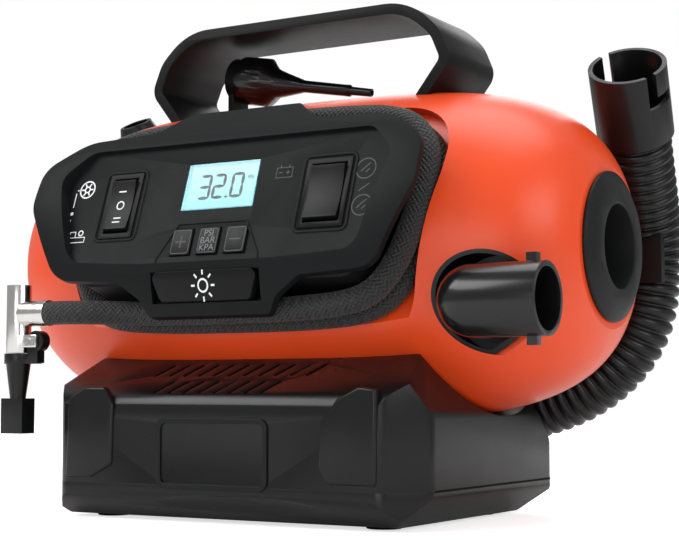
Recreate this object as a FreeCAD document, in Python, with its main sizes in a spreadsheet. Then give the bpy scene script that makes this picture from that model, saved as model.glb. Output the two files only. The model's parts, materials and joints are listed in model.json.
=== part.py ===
"""Portable tire inflator: a barrel body on a base, with a control panel wound round by its air hose.

Origin: on the ground under the middle of the barrel. +X right along the barrel, -Y front, +Z up.
Every size below is in millimetres and lives in the document's sheet.
"""
import FreeCAD, Part
import math
import os
from FreeCAD import Placement, Rotation, Vector

SIZES = {
    # barrel
    "barrel_half": 160.8, "barrel_radius": 80.35, "barrel_bulge": 3.47, "barrel_end": 157.3,
    "barrel_height": 126.6, "shell_wall": 3.0, "fit_gap": 0.3,
    # suction port on the right end, intake grille on the left end
    "port_radius": 34.8, "port_bore": 19.6, "port_face": 4.9, "port_bevel": 3.2, "port_wall": 2.4,
    "port_depth": 22.0, "grille_radius": 33.0, "grille_thick": 4.0, "grille_slot": 3.2, "grille_pitch": 7.6,
    # blower outlet elbow, front right
    "outlet_x": 124.0, "outlet_z": 99.2, "outlet_radius": 15.9, "outlet_wall": 2.3, "outlet_y": 75.0,
    "outlet_end": 158.3, "recess_radius": 22.8, "recess_floor": 49.0, "recess_wall": 2.0,
    "pin_back": 6.5, "pin_size": 4.7, "pin_rise": 3.6,
    # base
    "base_half": 103.4, "base_front": 93.6, "base_back": 60.0, "base_seam": 17.0, "base_wall": 3.0,
    "base_brow": 57.0, "base_top": 77.0, "base_top_front": 60.0, "base_corner": 9.0, "base_side_clear": 3.4,
    "base_side_end": 74.0, "base_face_end": 88.0, "base_waist": 50.0, "base_top_half": 90.0, "base_back_slope": 29.0,
    "base_back_top": 32.0, "tray_rise": 11.0,
    "foot_radius": 8.0, "foot_height": 2.5, "foot_inset_x": 76.0, "foot_front": 68.0, "foot_back": 26.0,
    "vent_half": 50.0, "vent_slot": 2.0, "vent_pitch": 8.6, "vent_length": 12.0, "vent_upper": 0.66, "vent_lower": 0.27,
    "badge_half": 30.8, "badge_low": 15.7, "badge_high": 48.2, "badge_rim": 2.4, "badge_proud": 0.8,
    # handle
    "handle_depth": 50.0, "handle_thick": 5.2, "handle_top": 248.0, "handle_bulge": 86.0, "handle_foot": 71.0,
    "handle_bulge_z": 217.5, "handle_shoulder": 76.0, "handle_shoulder_z": 234.0,
    "handle_root": 192.0,
    # control panel: its own frame has x right, y up its face, z out of its face
    "panel_tilt": 18.8, "panel_y": 87.93, "panel_z": 149.98, "face_radius": 95.0, "face_rise": 8.0,
    "panel_plate": 3.2, "panel_floor": 1.0, "panel_floor_thick": 2.5,
    "panel_half": 107.5, "panel_top": 35.0, "bump_half": 31.0, "bump_top": 49.5, "lobe_half": 31.0,
    "lobe_bottom": 55.0, "panel_low": 40.2,
    # winding of the air hose round the hub behind the panel
    "loop_half": 98.0, "loop_top": 46.6, "loop_bottom": 49.6, "loop_low_half": 84.5, "loop_knee": 14.0,
    "hose_diameter": 11.4, "front_turn": 18.0, "turn_step": 11.8, "channel_gap": 1.8, "hub_gap": 4.3,
    "hub_wall": 3.0,
    # display and keys
    "lcd_half": 19.9, "lcd_low": -5.7, "lcd_high": 17.6, "lens_thick": 2.5, "key_gap": 0.35,
    "key_proud": 1.0, "key_half": 5.6, "key_low": -29.0, "key_high": -16.0, "key_pitch": 15.2,
    "key_travel": 0.8, "key_stem": 2.6, "light_half": 30.0, "light_low": -49.5, "light_high": -37.0,
    "rocker_depth": 11.0, "mode_x": -56.5, "mode_half": 7.4, "mode_low": -15.6, "mode_high": 13.2,
    "source_x": 58.6, "source_half": 9.2, "source_low": -16.4, "source_high": 12.4, "rocker_border": 2.6,
    "rocker_proud": 3.2, "rocker_pin": 1.5, "board_thick": 1.6, "board_back": 20.0,
    # chuck on the end of the air hose
    "chuck_x": -109.0, "chuck_y": 102.3, "chuck_radius": 6.0, "chuck_top": 112.0, "chuck_low": 79.0,
    "hose_exit_z": 98.0, "chuck_bore": 4.0,
    "ferrule_end": -89.4, "ferrule_radius": 6.3, "cam_x": -96.2, "cam_z": 84.6, "cam_radius": 5.0,
    "lever_low": 40.0, "lever_block": 57.0, "lever_half": 6.8, "lever_neck": 3.8, "chuck_pin": 1.3,
    # corrugated hose stored round the back
    "duct_diameter": 34.4, "cuff_diameter": 37.6, "cuff_wall": 2.2, "cuff_length": 38.0, "cuff_overlap": 6.0,
    "slot_width": 5.2, "slot_drop": 12.0, "clip_wall": 3.0, "clip_height": 24.0, "clip_z": 114.4,
    # cone adapter stored under the handle
    "adapter_x": -52.0, "adapter_y": 10.0, "adapter_z": 227.0, "adapter_dip": 10.4, "adapter_cup": 12.8,
    "adapter_length": 79.0, "adapter_wall": 1.5,
    # compressor and blower
    "motor_radius": 17.5, "motor_length": 52.0, "motor_x": -70.0, "motor_y": -12.0, "motor_z": 92.0,
    "gear_module": 1.0, "pinion_teeth": 12, "gear_teeth": 48, "gear_width": 8.0, "shaft_radius": 2.5,
    "crank_throw": 3.0, "crank_pin": 2.5, "rod_length": 34.0, "piston_radius": 11.0, "piston_gap": 0.3,
    "cylinder_wall": 3.0, "cylinder_length": 22.0, "running": 0.05, "impeller_radius": 33.0,
    "impeller_x": 118.0, "impeller_width": 12.0, "blower_radius": 19.0, "blower_length": 38.0,
    "impeller_blades": 9,
    # power inlet at the back
    "inlet_half": 16.0, "inlet_rise": 11.0, "inlet_deep": 14.0, "inlet_proud": 1.5, "inlet_rim": 2.5,
}

doc = FreeCAD.newDocument("TireInflator")
dim = doc.addObject("Spreadsheet::Sheet", "dim")
for row, (alias, value) in enumerate(SIZES.items(), start=1):
    dim.set("A%d" % row, alias)
    dim.set("B%d" % row, str(value))
    dim.setAlias("B%d" % row, alias)
doc.recompute()

subparts = []
X_AXIS, Y_AXIS, Z_AXIS = Vector(1, 0, 0), Vector(0, 1, 0), Vector(0, 0, 1)
ALONG_X = Rotation(Vector(0, 1, 0), 90)
ALONG_Y = Rotation(Vector(1, 0, 0), -90)
UPRIGHT = Rotation()


def mm(alias):
    """The value of one cell of the sheet."""
    return float(dim.get(alias))


def bind(thing, **expressions):
    """Tie properties to expressions of the sheet's cells."""
    for name, expression in expressions.items():
        thing.setExpression(name, str(expression))
    return thing


def place(thing, x="0", y="0", z="0", turn=UPRIGHT):
    """Put a thing at a place given by expressions, turned as asked."""
    thing.Placement = Placement(Vector(), turn)
    for axis, expression in zip("xyz", (x, y, z)):
        thing.setExpression("Placement.Base." + axis, str(expression))
    return thing


def cylinder(name, radius, height, x="0", y="0", z="0", turn=UPRIGHT):
    thing = doc.addObject("Part::Cylinder", name)
    bind(thing, Radius=radius, Height=height)
    return place(thing, x, y, z, turn)


def cone(name, radius1, radius2, height, x="0", y="0", z="0", turn=UPRIGHT):
    thing = doc.addObject("Part::Cone", name)
    bind(thing, Radius1=radius1, Radius2=radius2, Height=height)
    return place(thing, x, y, z, turn)


def sphere(name, radius, x="0", y="0", z="0"):
    thing = doc.addObject("Part::Sphere", name)
    bind(thing, Radius=radius)
    return place(thing, x, y, z)


def box(name, x1, x2, y1, y2, z1, z2):
    """A box between two corners, each an expression."""
    thing = doc.addObject("Part::Box", name)
    bind(thing, Length="(%s) - (%s)" % (x2, x1), Width="(%s) - (%s)" % (y2, y1), Height="(%s) - (%s)" % (z2, z1))
    return place(thing, x1, y1, z1)


def stand(thing, turn, x, y, z):
    """Turn a thing drawn about the origin and carry it to a place given by expressions."""
    stood = doc.addObject("Part::Compound", thing.Name + "_stood")
    stood.Links = [thing]
    return place(stood, x, y, z, turn)


def cut(name, base, *tools):
    """Take each tool out of the base."""
    for index, tool in enumerate(tools):
        last = index == len(tools) - 1
        step = doc.addObject("Part::Cut", name if last else "%s_cut%d" % (name, index))
        step.Base, step.Tool = base, tool
        base = step
    return base


def fuse(name, *things):
    joined = doc.addObject("Part::MultiFuse", name)
    joined.Shapes = list(things)
    joined.Refine = True
    return joined


def common(name, first, second):
    both = doc.addObject("Part::Common", name)
    both.Base, both.Tool = first, second
    return both


def solid(name, shape):
    """A shape that no primitive or sketch gives, such as a formula's curve."""
    thing = doc.addObject("Part::Feature", name)
    thing.Shape = shape
    return thing


def keep(label, thing):
    """Mark a finished sub-part; its label is its file's name."""
    thing.Label = label
    subparts.append(thing)
    return thing


def group(label, things):
    """Equal pieces of one kind kept in one node as separate solids."""
    bundle = doc.addObject("Part::Compound", label + "_set")
    bundle.Links = list(things)
    return keep(label, bundle)


def rounded(corners):
    """Lines and tangent arcs through corners given as (x, y, radius)."""
    count = len(corners)
    points = [Vector(x, y, 0) for x, y, radius in corners]
    stretches = []
    for i, (x, y, radius) in enumerate(corners):
        here, back, ahead = points[i], points[i - 1], points[(i + 1) % count]
        to_back = (back - here).normalize()
        to_ahead = (ahead - here).normalize()
        half = to_back.getAngle(to_ahead) / 2
        reach = radius / math.tan(half)
        middle = (to_back + to_ahead).normalize()
        centre = here + middle * (radius / math.sin(half))
        stretches.append((here + to_back * reach, centre - middle * radius, here + to_ahead * reach))
    geometry = []
    for i, (start, middle, end) in enumerate(stretches):
        geometry.append(Part.Arc(start, middle, end))
        following = stretches[(i + 1) % count][0]
        if (following - end).Length > 1e-4:
            geometry.append(Part.LineSegment(end, following))
    return geometry


def mirrored(right_half):
    """Close an outline from the corners of its right half, top to bottom."""
    left = [(-x, y, radius) for x, y, radius in reversed(right_half)]
    return right_half + left


def plate(name, geometry, low, high, turn=UPRIGHT):
    """An outline on its own plane pushed from one height to another."""
    sketch = doc.addObject("Sketcher::SketchObject", name + "_outline")
    sketch.addGeometry(geometry, False)
    sketch.Placement = Placement(Vector(), turn)
    normal = turn.multVec(Z_AXIS)
    for axis, share in zip("xyz", normal):
        if abs(share) > 0.5:
            sketch.setExpression("Placement.Base." + axis, "%d * (%s)" % (round(share), low))
    pushed = doc.addObject("Part::Extrusion", name)
    pushed.Base = sketch
    pushed.DirMode = "Custom"
    pushed.Dir = normal
    pushed.Solid = True
    bind(pushed, LengthFwd="(%s) - (%s)" % (high, low))
    return pushed


def offset_outline(geometry, distance):
    """The same outline grown, or shrunk when the distance is negative."""
    wire = Part.Wire([piece.toShape() for piece in geometry])
    grown = wire.makeOffset2D(distance, 0)
    return [edge_geometry(edge) for edge in grown.Edges]


def edge_geometry(edge):
    """The line or arc that an edge follows."""
    first, last = edge.ParameterRange
    ends = [edge.valueAt(first), edge.valueAt(last)]
    if isinstance(edge.Curve, Part.Line):
        return Part.LineSegment(*ends)
    return Part.Arc(ends[0], edge.valueAt((first + last) / 2), ends[1])


def on_panel(thing):
    """Stand a piece that was drawn in the panel's frame on the panel's tilted plane."""
    stood = stand(thing, Rotation(X_AXIS, 90), "0", "-dim.panel_y", "dim.panel_z")
    stood.setExpression("Placement.Rotation.Angle", "90 - dim.panel_tilt")
    return stood


# ---- barrel: two half shells of one superelliptic body ----

def barrel_radius_at(x, half, radius):
    share = min(abs(x) / half, 1.0)
    return radius * (1 - share ** mm("barrel_bulge")) ** (1 / mm("barrel_bulge"))


def barrel_solid(inset):
    """The barrel's body of revolution, shrunk by an inset, with flat ends."""
    half, radius = mm("barrel_half") - inset, mm("barrel_radius") - inset
    end = mm("barrel_end") - inset
    steps = 28
    places = [end * math.sin(math.pi / 2 * i / steps) for i in range(-steps, steps + 1)]
    points = [Vector(x, 0, barrel_radius_at(x, half, radius)) for x in places]
    curve = Part.BSplineCurve()
    curve.interpolate(points)
    first, last = Vector(-end, 0, 0), Vector(end, 0, 0)
    edges = [curve.toShape(), Part.makeLine(points[-1], last), Part.makeLine(last, first),
             Part.makeLine(first, points[0])]
    body = Part.Face(Part.Wire(edges)).revolve(Vector(), X_AXIS, 360)
    body.translate(Vector(0, 0, mm("barrel_height")))
    return body


def turn_corners():
    """Corners of the line that one turn of the air hose follows round the hub."""
    return mirrored([
        (mm("loop_half"), mm("loop_top"), 24.0),
        (mm("loop_half"), mm("loop_knee"), 60.0),
        (mm("loop_low_half"), -mm("loop_bottom"), 18.0),
    ])


hose_line = rounded(turn_corners())
channel_line = offset_outline(hose_line, mm("hose_diameter") / 2 + mm("channel_gap"))
channel_outside = offset_outline(hose_line, mm("hose_diameter") / 2 + mm("channel_gap") + mm("shell_wall"))
CHANNEL_FLOOR = "(0 - dim.front_turn - dim.turn_step - dim.hose_diameter / 2 - dim.fit_gap)"

outer_body = solid("barrel_outside", barrel_solid(0))
inner_body = solid("barrel_inside", barrel_solid(mm("shell_wall")))
REACH = "(dim.barrel_half + dim.base_front)"
front_space = box("front_space", "-" + REACH, REACH, "-" + REACH, "0", "0", "2 * " + REACH)
rear_space = box("rear_space", "-" + REACH, REACH, "0", REACH, "0", "2 * " + REACH)
skin = cut("barrel_skin", outer_body, inner_body)

port_hole = cylinder("port_hole", "dim.port_bore + dim.port_wall", "dim.barrel_half",
                     "dim.barrel_end - dim.port_depth", "0", "dim.barrel_height", ALONG_X)
grille_hole = cylinder("grille_hole", "dim.grille_radius - 4", "dim.barrel_half",
                       "-2 * dim.barrel_half + 10", "0", "dim.barrel_height", ALONG_X)
recess_hole = cylinder("recess_hole", "dim.recess_radius", "dim.barrel_radius",
                       "dim.outlet_x", "-dim.recess_floor - dim.barrel_radius + dim.recess_wall",
                       "dim.outlet_z", ALONG_Y)
channel_block = on_panel(plate("channel_block", channel_outside, CHANNEL_FLOOR + " - dim.shell_wall", "30"))
channel_space = on_panel(plate("channel_space", channel_line, CHANNEL_FLOOR, "60"))
channel_walls = common("channel_walls", channel_block, common("front_body", outer_body, front_space))
front_half = fuse("front_half", common("front_skin", skin, front_space), channel_walls)
keep("front_shell", cut("front_shell_cut", front_half, channel_space, recess_hole, port_hole, grille_hole))
inlet_hole = box("inlet_hole", "-dim.inlet_half", "dim.inlet_half", "dim.barrel_radius - 3 * dim.inlet_deep",
                 "2 * dim.barrel_radius", "dim.barrel_height - dim.inlet_rise", "dim.barrel_height + dim.inlet_rise")
keep("rear_shell", cut("rear_shell_cut", common("rear_skin", skin, rear_space), port_hole, grille_hole, inlet_hole))

# ---- right end: bevelled suction port; left end: intake grille ----

port_body = cylinder("port_body", "dim.port_radius", "dim.port_face - dim.port_bevel", "dim.barrel_end", "0",
                     "dim.barrel_height", ALONG_X)
port_nose = cone("port_nose", "dim.port_radius", "dim.port_radius - 2 * dim.port_bevel", "dim.port_bevel",
                 "dim.barrel_end + dim.port_face - dim.port_bevel", "0", "dim.barrel_height", ALONG_X)
port_tube = cylinder("port_tube", "dim.port_bore + dim.port_wall - dim.running", "dim.port_depth",
                     "dim.barrel_end - dim.port_depth", "0", "dim.barrel_height", ALONG_X)
port_bore = cylinder("port_bore_cut", "dim.port_bore", "dim.port_depth + 2 * dim.port_face",
                     "dim.barrel_end - dim.port_depth - 1", "0", "dim.barrel_height", ALONG_X)
keep("port_ring", cut("port_ring_cut", fuse("port_ring_body", port_body, port_nose, port_tube), port_bore))

grille_disc = cylinder("grille_disc", "dim.grille_radius", "dim.grille_thick",
                       "-dim.barrel_end - dim.grille_thick", "0", "dim.barrel_height", ALONG_X)
grille_slots = []
for index in range(-3, 4):
    reach = "sqrt((dim.grille_radius - 6) ^ 2 - (%d * dim.grille_pitch) ^ 2)" % index
    grille_slots.append(box("grille_slot_%d" % (index + 3), "-dim.barrel_end - 2 * dim.grille_thick",
                            "-dim.barrel_end + 1", "-" + reach, reach,
                            "dim.barrel_height + %d * dim.grille_pitch - dim.grille_slot / 2" % index,
                            "dim.barrel_height + %d * dim.grille_pitch + dim.grille_slot / 2" % index))
keep("end_grille", cut("end_grille_cut", grille_disc, fuse("grille_slot_set", *grille_slots)))

# ---- blower outlet: recessed cup and an elbow with two bayonet pins ----

cup_wall = cylinder("cup_wall", "dim.recess_radius - dim.running", "dim.barrel_radius - dim.recess_floor",
                    "dim.outlet_x", "-dim.barrel_radius", "dim.outlet_z", ALONG_Y)
cup_space = cylinder("cup_space", "dim.recess_radius - dim.recess_wall", "dim.barrel_radius",
                     "dim.outlet_x", "-dim.recess_floor - dim.barrel_radius - dim.recess_wall",
                     "dim.outlet_z", ALONG_Y)
cup_hole = cylinder("cup_hole", "dim.outlet_radius", "dim.barrel_radius", "dim.outlet_x",
                    "-dim.barrel_radius - dim.recess_floor / 2", "dim.outlet_z", ALONG_Y)
cup_blank = common("cup_blank", cup_wall, outer_body)
keep("outlet_cup", cut("outlet_cup_cut", cup_blank, cup_space, cup_hole))

elbow_root = cylinder("elbow_root", "dim.outlet_radius", "dim.outlet_y - dim.recess_floor + 2", "dim.outlet_x",
                      "-dim.outlet_y", "dim.outlet_z", ALONG_Y)
elbow_knee = sphere("elbow_knee", "dim.outlet_radius", "dim.outlet_x", "-dim.outlet_y", "dim.outlet_z")
elbow_pipe = cylinder("elbow_pipe", "dim.outlet_radius", "dim.outlet_end - dim.outlet_x", "dim.outlet_x",
                      "-dim.outlet_y", "dim.outlet_z", ALONG_X)
elbow_pins = box("elbow_pins", "dim.outlet_end - dim.pin_back - dim.pin_size / 2",
                 "dim.outlet_end - dim.pin_back + dim.pin_size / 2",
                 "-dim.outlet_y - dim.pin_size / 2", "-dim.outlet_y + dim.pin_size / 2",
                 "dim.outlet_z - dim.outlet_radius - dim.pin_rise",
                 "dim.outlet_z + dim.outlet_radius + dim.pin_rise")
INNER = "(dim.outlet_radius - dim.outlet_wall)"
bore_root = cylinder("bore_root", INNER, "dim.outlet_y", "dim.outlet_x", "-dim.outlet_y", "dim.outlet_z", ALONG_Y)
bore_knee = sphere("bore_knee", INNER, "dim.outlet_x", "-dim.outlet_y", "dim.outlet_z")
bore_pipe = cylinder("bore_pipe", INNER, "dim.outlet_end", "dim.outlet_x", "-dim.outlet_y", "dim.outlet_z", ALONG_X)
elbow_body = fuse("elbow_body", elbow_root, elbow_knee, elbow_pipe, elbow_pins)
keep("outlet_elbow", cut("outlet_elbow_cut", elbow_body, fuse("elbow_bore", bore_root, bore_knee, bore_pipe)))

# ---- base: cradle housing, tray, feet, vents and badge ----


def side_profile(inset):
    """The base's outline seen from its side, as corners (depth, height, radius)."""
    front, back = mm("base_front") - inset, mm("base_back") - inset
    return [
        (-front, mm("base_seam"), 0.01), (-front, mm("base_brow"), 12.0),
        (-mm("base_top_front") + inset * 0.3, mm("base_top") - inset * 0.9, 1.0),
        (mm("base_back_top") - inset, mm("base_top") - inset * 0.9, 2.0),
        (mm("base_back_top") - inset, mm("base_brow"), 6.0), (back, mm("base_back_slope"), 5.0),
        (back, mm("base_seam"), 0.01),
    ]


def upright_prism(name, corners, x_low, x_high):
    """An outline in depth and height pushed along X."""
    turned = Rotation(Y_AXIS, Z_AXIS, X_AXIS, "XYZ")
    return plate(name, rounded(corners), x_low, x_high, turned)


def plan_corners(inset, corner):
    """The base's outline seen from above, its front corners cut off aslant."""
    half, front, back = mm("base_half") - inset, mm("base_front") - inset, mm("base_back") - inset
    side_end, face_end = mm("base_side_end") - inset * 0.5, mm("base_face_end") - inset * 0.5
    return [(half, back, corner), (-half, back, corner), (-half, -side_end, corner), (-face_end, -front, corner),
            (face_end, -front, corner), (half, -side_end, corner)]


def front_corners(inset, low, high):
    """The base's outline seen from its front: narrower at its top, and at its very bottom."""
    half, waist, top = mm("base_half") - inset, mm("base_waist"), mm("base_top")
    lean = (half - mm("base_top_half") + inset) / (top - waist)
    lower = mm("base_seam") - 3
    return [(half, waist, 8.0), (half - lean * (high - waist), high, 0.01), (-half + lean * (high - waist), high, 0.01),
            (-half, waist, 8.0), (-half, lower, 5.0), (-half + (lower - low), low, 0.01),
            (half - (lower - low), low, 0.01), (half, lower, 5.0)]


base_plan = plate("base_plan", rounded(plan_corners(0, mm("base_corner"))), "dim.base_seam", "dim.base_top + 5")
base_prism = upright_prism("base_prism", side_profile(0), "-dim.base_half - 1", "dim.base_half + 1")
FACING_FRONT = Rotation(X_AXIS, 90)
base_front_form = plate("base_front_form", rounded(front_corners(0, mm("foot_height") - 1, mm("base_top") + 6)),
                        "-dim.base_back - 1", "dim.base_front + 1", FACING_FRONT)
base_block = common("base_block", common("base_sides", base_prism, base_plan), base_front_form)
cavity_plan = plate("cavity_plan", rounded(plan_corners(mm("base_wall"), mm("base_corner") - mm("base_wall"))),
                    "dim.base_seam - 1", "dim.base_top")
cavity_corners = [(-mm("base_front") + mm("base_wall"), mm("base_seam") - 1, 0.01),
                  (-mm("base_front") + mm("base_wall"), mm("base_brow") - mm("base_wall") / 2, 10.0),
                  (-mm("base_top_front"), mm("base_top") - mm("base_wall") * 1.4, 0.5),
                  (mm("base_back_top") - mm("base_wall") - 1, mm("base_top") - mm("base_wall"), 0.5),
                  (mm("base_back_top") - mm("base_wall") - 1, mm("base_brow") - mm("base_wall"), 4.0),
                  (mm("base_back") - mm("base_wall"), mm("base_back_slope") - mm("base_wall"), 4.0),
                  (mm("base_back") - mm("base_wall"), mm("base_seam") - 1, 0.01)]
cavity_prism = upright_prism("cavity_prism", cavity_corners, "-dim.base_half", "dim.base_half")
cradle_floor = cylinder("cradle_floor", "dim.barrel_radius + dim.fit_gap + dim.base_wall", "4 * dim.base_half",
                        "-2 * dim.base_half", "0", "dim.barrel_height", ALONG_X)
cavity_form = plate("cavity_form", rounded(front_corners(mm("base_wall"), mm("base_seam") - 12, mm("base_top"))),
                    "-dim.base_back", "dim.base_front", FACING_FRONT)
cavity_block = common("cavity_block", common("cavity_sides", cavity_prism, cavity_plan), cavity_form)
cavity = cut("base_cavity", cavity_block, cradle_floor)
cradle = solid("cradle_seat", barrel_solid(-mm("fit_gap")))
SIDE_RADIUS = "(dim.barrel_radius - dim.base_side_clear + 0.9)"
side_seat = cylinder("side_seat", SIDE_RADIUS, "4 * dim.base_half", "-2 * dim.base_half", "0",
                     "dim.barrel_height", ALONG_X)
SLOPE = Rotation(X_AXIS, math.degrees(math.atan2(mm("base_top") - mm("base_brow"),
                                                 mm("base_front") - mm("base_top_front"))))
SLOPE_Z = "(dim.base_brow + (dim.base_top - dim.base_brow) * (%s))"
SLOPE_Y = "(0 - dim.base_front + (dim.base_front - dim.base_top_front) * (%s))"
vent_slots = []
for row, (count, share, offset) in enumerate(((11, "dim.vent_upper", 5.0), (8, "dim.vent_lower", 3.9))):
    for index in range(count):
        slot = box("vent_slot_%d_%d" % (row, index), "-dim.vent_slot / 2", "dim.vent_slot / 2",
                   "-dim.vent_length / 2", "dim.vent_length / 2", "-dim.base_wall * 2", "dim.base_wall * 3")
        vent_slots.append(stand(slot, SLOPE * Rotation(Z_AXIS, -28), "(%d - %.1f) * dim.vent_pitch" % (index, offset),
                                SLOPE_Y % share, SLOPE_Z % share))
vents = fuse("vent_slot_set", *vent_slots)
badge_recess = box("badge_recess", "-dim.badge_half + dim.badge_rim", "dim.badge_half - dim.badge_rim",
                   "-dim.base_front - 1", "-dim.base_front + 0.4", "dim.badge_low + dim.badge_rim",
                   "dim.badge_high - dim.badge_rim")
keep("base_housing", cut("base_housing_cut", base_block, cavity, cradle, side_seat, vents, badge_recess))

tray_low = mm("foot_height") - 1
tray_side = [(-mm("base_front"), mm("base_seam"), 0.01), (-mm("base_front"), mm("tray_rise"), 6.0),
             (-mm("base_front") + mm("tray_rise"), tray_low, 4.0), (mm("base_back") - mm("tray_rise") * 1.8, tray_low, 4.0),
             (mm("base_back"), mm("tray_rise") + 2, 3.0), (mm("base_back"), mm("base_seam"), 0.01)]
tray_plan = plate("tray_plan", rounded(plan_corners(0, mm("base_corner"))), "dim.foot_height - 1", "dim.base_seam")
tray_prism = upright_prism("tray_prism", tray_side, "-dim.base_half - 1", "dim.base_half + 1")
tray_block = common("tray_block", common("tray_sides", tray_plan, tray_prism), base_front_form)
tray_space = plate("tray_space", rounded(plan_corners(4 * mm("base_wall"), mm("base_corner"))),
                   "dim.foot_height - 1 + dim.base_wall", "dim.base_seam + 1")
foot_places = [(side, depth) for side in ("dim.foot_inset_x", "-dim.foot_inset_x")
               for depth in ("-dim.foot_front", "dim.foot_back")]
foot_places.append(("0", "0"))
foot_seats, feet = [], []
for index, (side, depth) in enumerate(foot_places):
    foot_seats.append(cylinder("foot_seat_%d" % index, "dim.foot_radius", "dim.foot_height", side, depth, "0"))
    feet.append(cylinder("foot_%d" % index, "dim.foot_radius", "dim.foot_height", side, depth, "0"))
keep("base_tray", cut("base_tray_cut", tray_block, tray_space, fuse("foot_seat_set", *foot_seats)))
group("rubber_feet", feet)

vent_back = stand(box("vent_back", "-dim.vent_half", "dim.vent_half", "-dim.vent_length * 1.35",
                      "dim.vent_length * 1.3", "-dim.base_wall - 3.5", "-dim.base_wall"), SLOPE, "0",
                  SLOPE_Y % "0.5", SLOPE_Z % "0.5")
keep("vent_backing", common("vent_backing_shape", vent_back, cavity))


def ring_corners(half, low, high, radius):
    return [(half, high, radius), (-half, high, radius), (-half, low, radius), (half, low, radius)]


badge_outline = ring_corners(mm("badge_half"), mm("badge_low"), mm("badge_high"), 4.5)
badge_inline = ring_corners(mm("badge_half") - mm("badge_rim"), mm("badge_low") + mm("badge_rim"),
                            mm("badge_high") - mm("badge_rim"), 3.0)
badge_block = plate("badge_block", rounded(badge_outline), "dim.base_front", "dim.base_front + dim.badge_proud",
                    FACING_FRONT)
badge_space = plate("badge_space", rounded(badge_inline), "dim.base_front - 1",
                    "dim.base_front + dim.badge_proud + 1", FACING_FRONT)
keep("badge_frame", cut("badge_frame_cut", badge_block, badge_space))

# ---- carrying handle: one wide band whose feet sit on the barrel ----

handle_corners = mirrored([
    (mm("handle_shoulder") - 10, mm("handle_top"), 34.0),
    (mm("handle_shoulder") + 6, mm("handle_shoulder_z") - 1, 20.0),
    (mm("handle_bulge") + 2.5, mm("handle_bulge_z"), 9.0),
    (mm("handle_foot") - 2.5, mm("handle_root"), 0.01),
])
handle_outer = plate("handle_outer", rounded(handle_corners), "-dim.handle_depth / 2", "dim.handle_depth / 2",
                     FACING_FRONT)
inner_line = offset_outline(rounded(handle_corners), -mm("handle_thick"))
handle_inner = plate("handle_inner", inner_line, "-dim.handle_depth / 2 - 1", "dim.handle_depth / 2 + 1",
                     FACING_FRONT)
handle_under = box("handle_under", "-dim.handle_foot + dim.handle_thick", "dim.handle_foot - dim.handle_thick",
                   "-dim.handle_depth", "dim.handle_depth", "dim.handle_root - 5", "dim.handle_root + 12")
keep("handle", cut("handle_cut", handle_outer, handle_inner, handle_under, outer_body))
handle_screws = []
for side in ("-dim.handle_foot + 2", "dim.handle_foot - 2"):
    for depth in ("-dim.handle_depth / 4", "dim.handle_depth / 4"):
        handle_screws.append(cylinder("handle_screw_%d" % len(handle_screws), "3.2", "2.2", side, depth,
                                      "dim.barrel_height + dim.barrel_radius - dim.shell_wall - 6"))
room_inside = solid("room_inside", barrel_solid(mm("shell_wall")))
group("handle_screws", [common("handle_screw_head_%d" % index, screw, room_inside)
                        for index, screw in enumerate(handle_screws)])

# ---- hub and control panel, drawn in the panel's frame ----

hub_line = offset_outline(hose_line, -mm("hose_diameter") / 2 - mm("hub_gap"))
hub_inside = offset_outline(hose_line, -mm("hose_diameter") / 2 - mm("hub_gap") - mm("hub_wall"))
SEAT = "(dim.panel_floor - dim.panel_floor_thick)"
hub_block = plate("hub_block", hub_line, CHANNEL_FLOOR, SEAT)
hub_space = plate("hub_space", hub_inside, CHANNEL_FLOOR + " + dim.hub_wall", "20")
hub_trim = cylinder("hub_trim", "dim.face_radius - dim.panel_plate - dim.key_travel - 1.6", "4 * dim.loop_half",
                    "-2 * dim.loop_half", "0", "dim.face_rise - dim.face_radius", ALONG_X)
hub_shell = common("hub_shell", cut("hose_hub_cut", hub_block, hub_space), hub_trim)
board_posts = [cylinder("board_post_%d" % index, "2.4", "-dim.board_back - (" + CHANNEL_FLOOR + ") - 1", x, y,
                        CHANNEL_FLOOR + " + 1")
               for index, (x, y) in enumerate((("-38.4", "-27"), ("38.4", "-27"), ("-38.4", "25"), ("38.4", "25")))]
keep("hose_hub", on_panel(fuse("hose_hub_body", hub_shell, *board_posts)))

panel_corners = mirrored([
    (mm("bump_half"), mm("bump_top"), 5.0),
    (mm("bump_half") + 14, mm("panel_top") + 2.5, 16.0),
    (mm("panel_half") - 22, mm("panel_top"), 22.0),
    (mm("panel_half") - 1.0, mm("panel_top") - 15, 14.0),
    (mm("panel_half") - 0.5, -2.0, 16.0),
    (mm("panel_half") - 19, -mm("panel_low") + 2, 14.0),
    (mm("lobe_half") + 20, -mm("panel_low"), 6.0),
    (mm("lobe_half") + 7, -mm("lobe_bottom") + 7, 8.0),
    (mm("lobe_half") + 3, -mm("lobe_bottom"), 4.0),
])
panel_line = rounded(panel_corners)
face_outside = cylinder("face_outside", "dim.face_radius", "4 * dim.panel_half", "-2 * dim.panel_half", "0",
                        "dim.face_rise - dim.face_radius", ALONG_X)
face_inside = cylinder("face_inside", "dim.face_radius - dim.panel_plate", "4 * dim.panel_half",
                       "-2 * dim.panel_half", "0", "dim.face_rise - dim.face_radius", ALONG_X)
rim_plate = cut("rim_plate", common("rim_curved", plate("rim_block", panel_line, "-30", "30"), face_outside),
                face_inside)
face_line = mirrored([
    (mm("panel_half") - 28, mm("panel_top") - 6, 9.0),
    (mm("panel_half") - 13.5, mm("panel_top") - 21, 10.0),
    (mm("panel_half") - 27, -mm("panel_low") + 9, 12.0),
    (mm("light_half") + 8, mm("key_low") - 4.5, 5.0),
])
floor_plate = plate("floor_plate", rounded(face_line), SEAT, "30")
floor_curved = common("floor_curved", floor_plate, face_outside)
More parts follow.
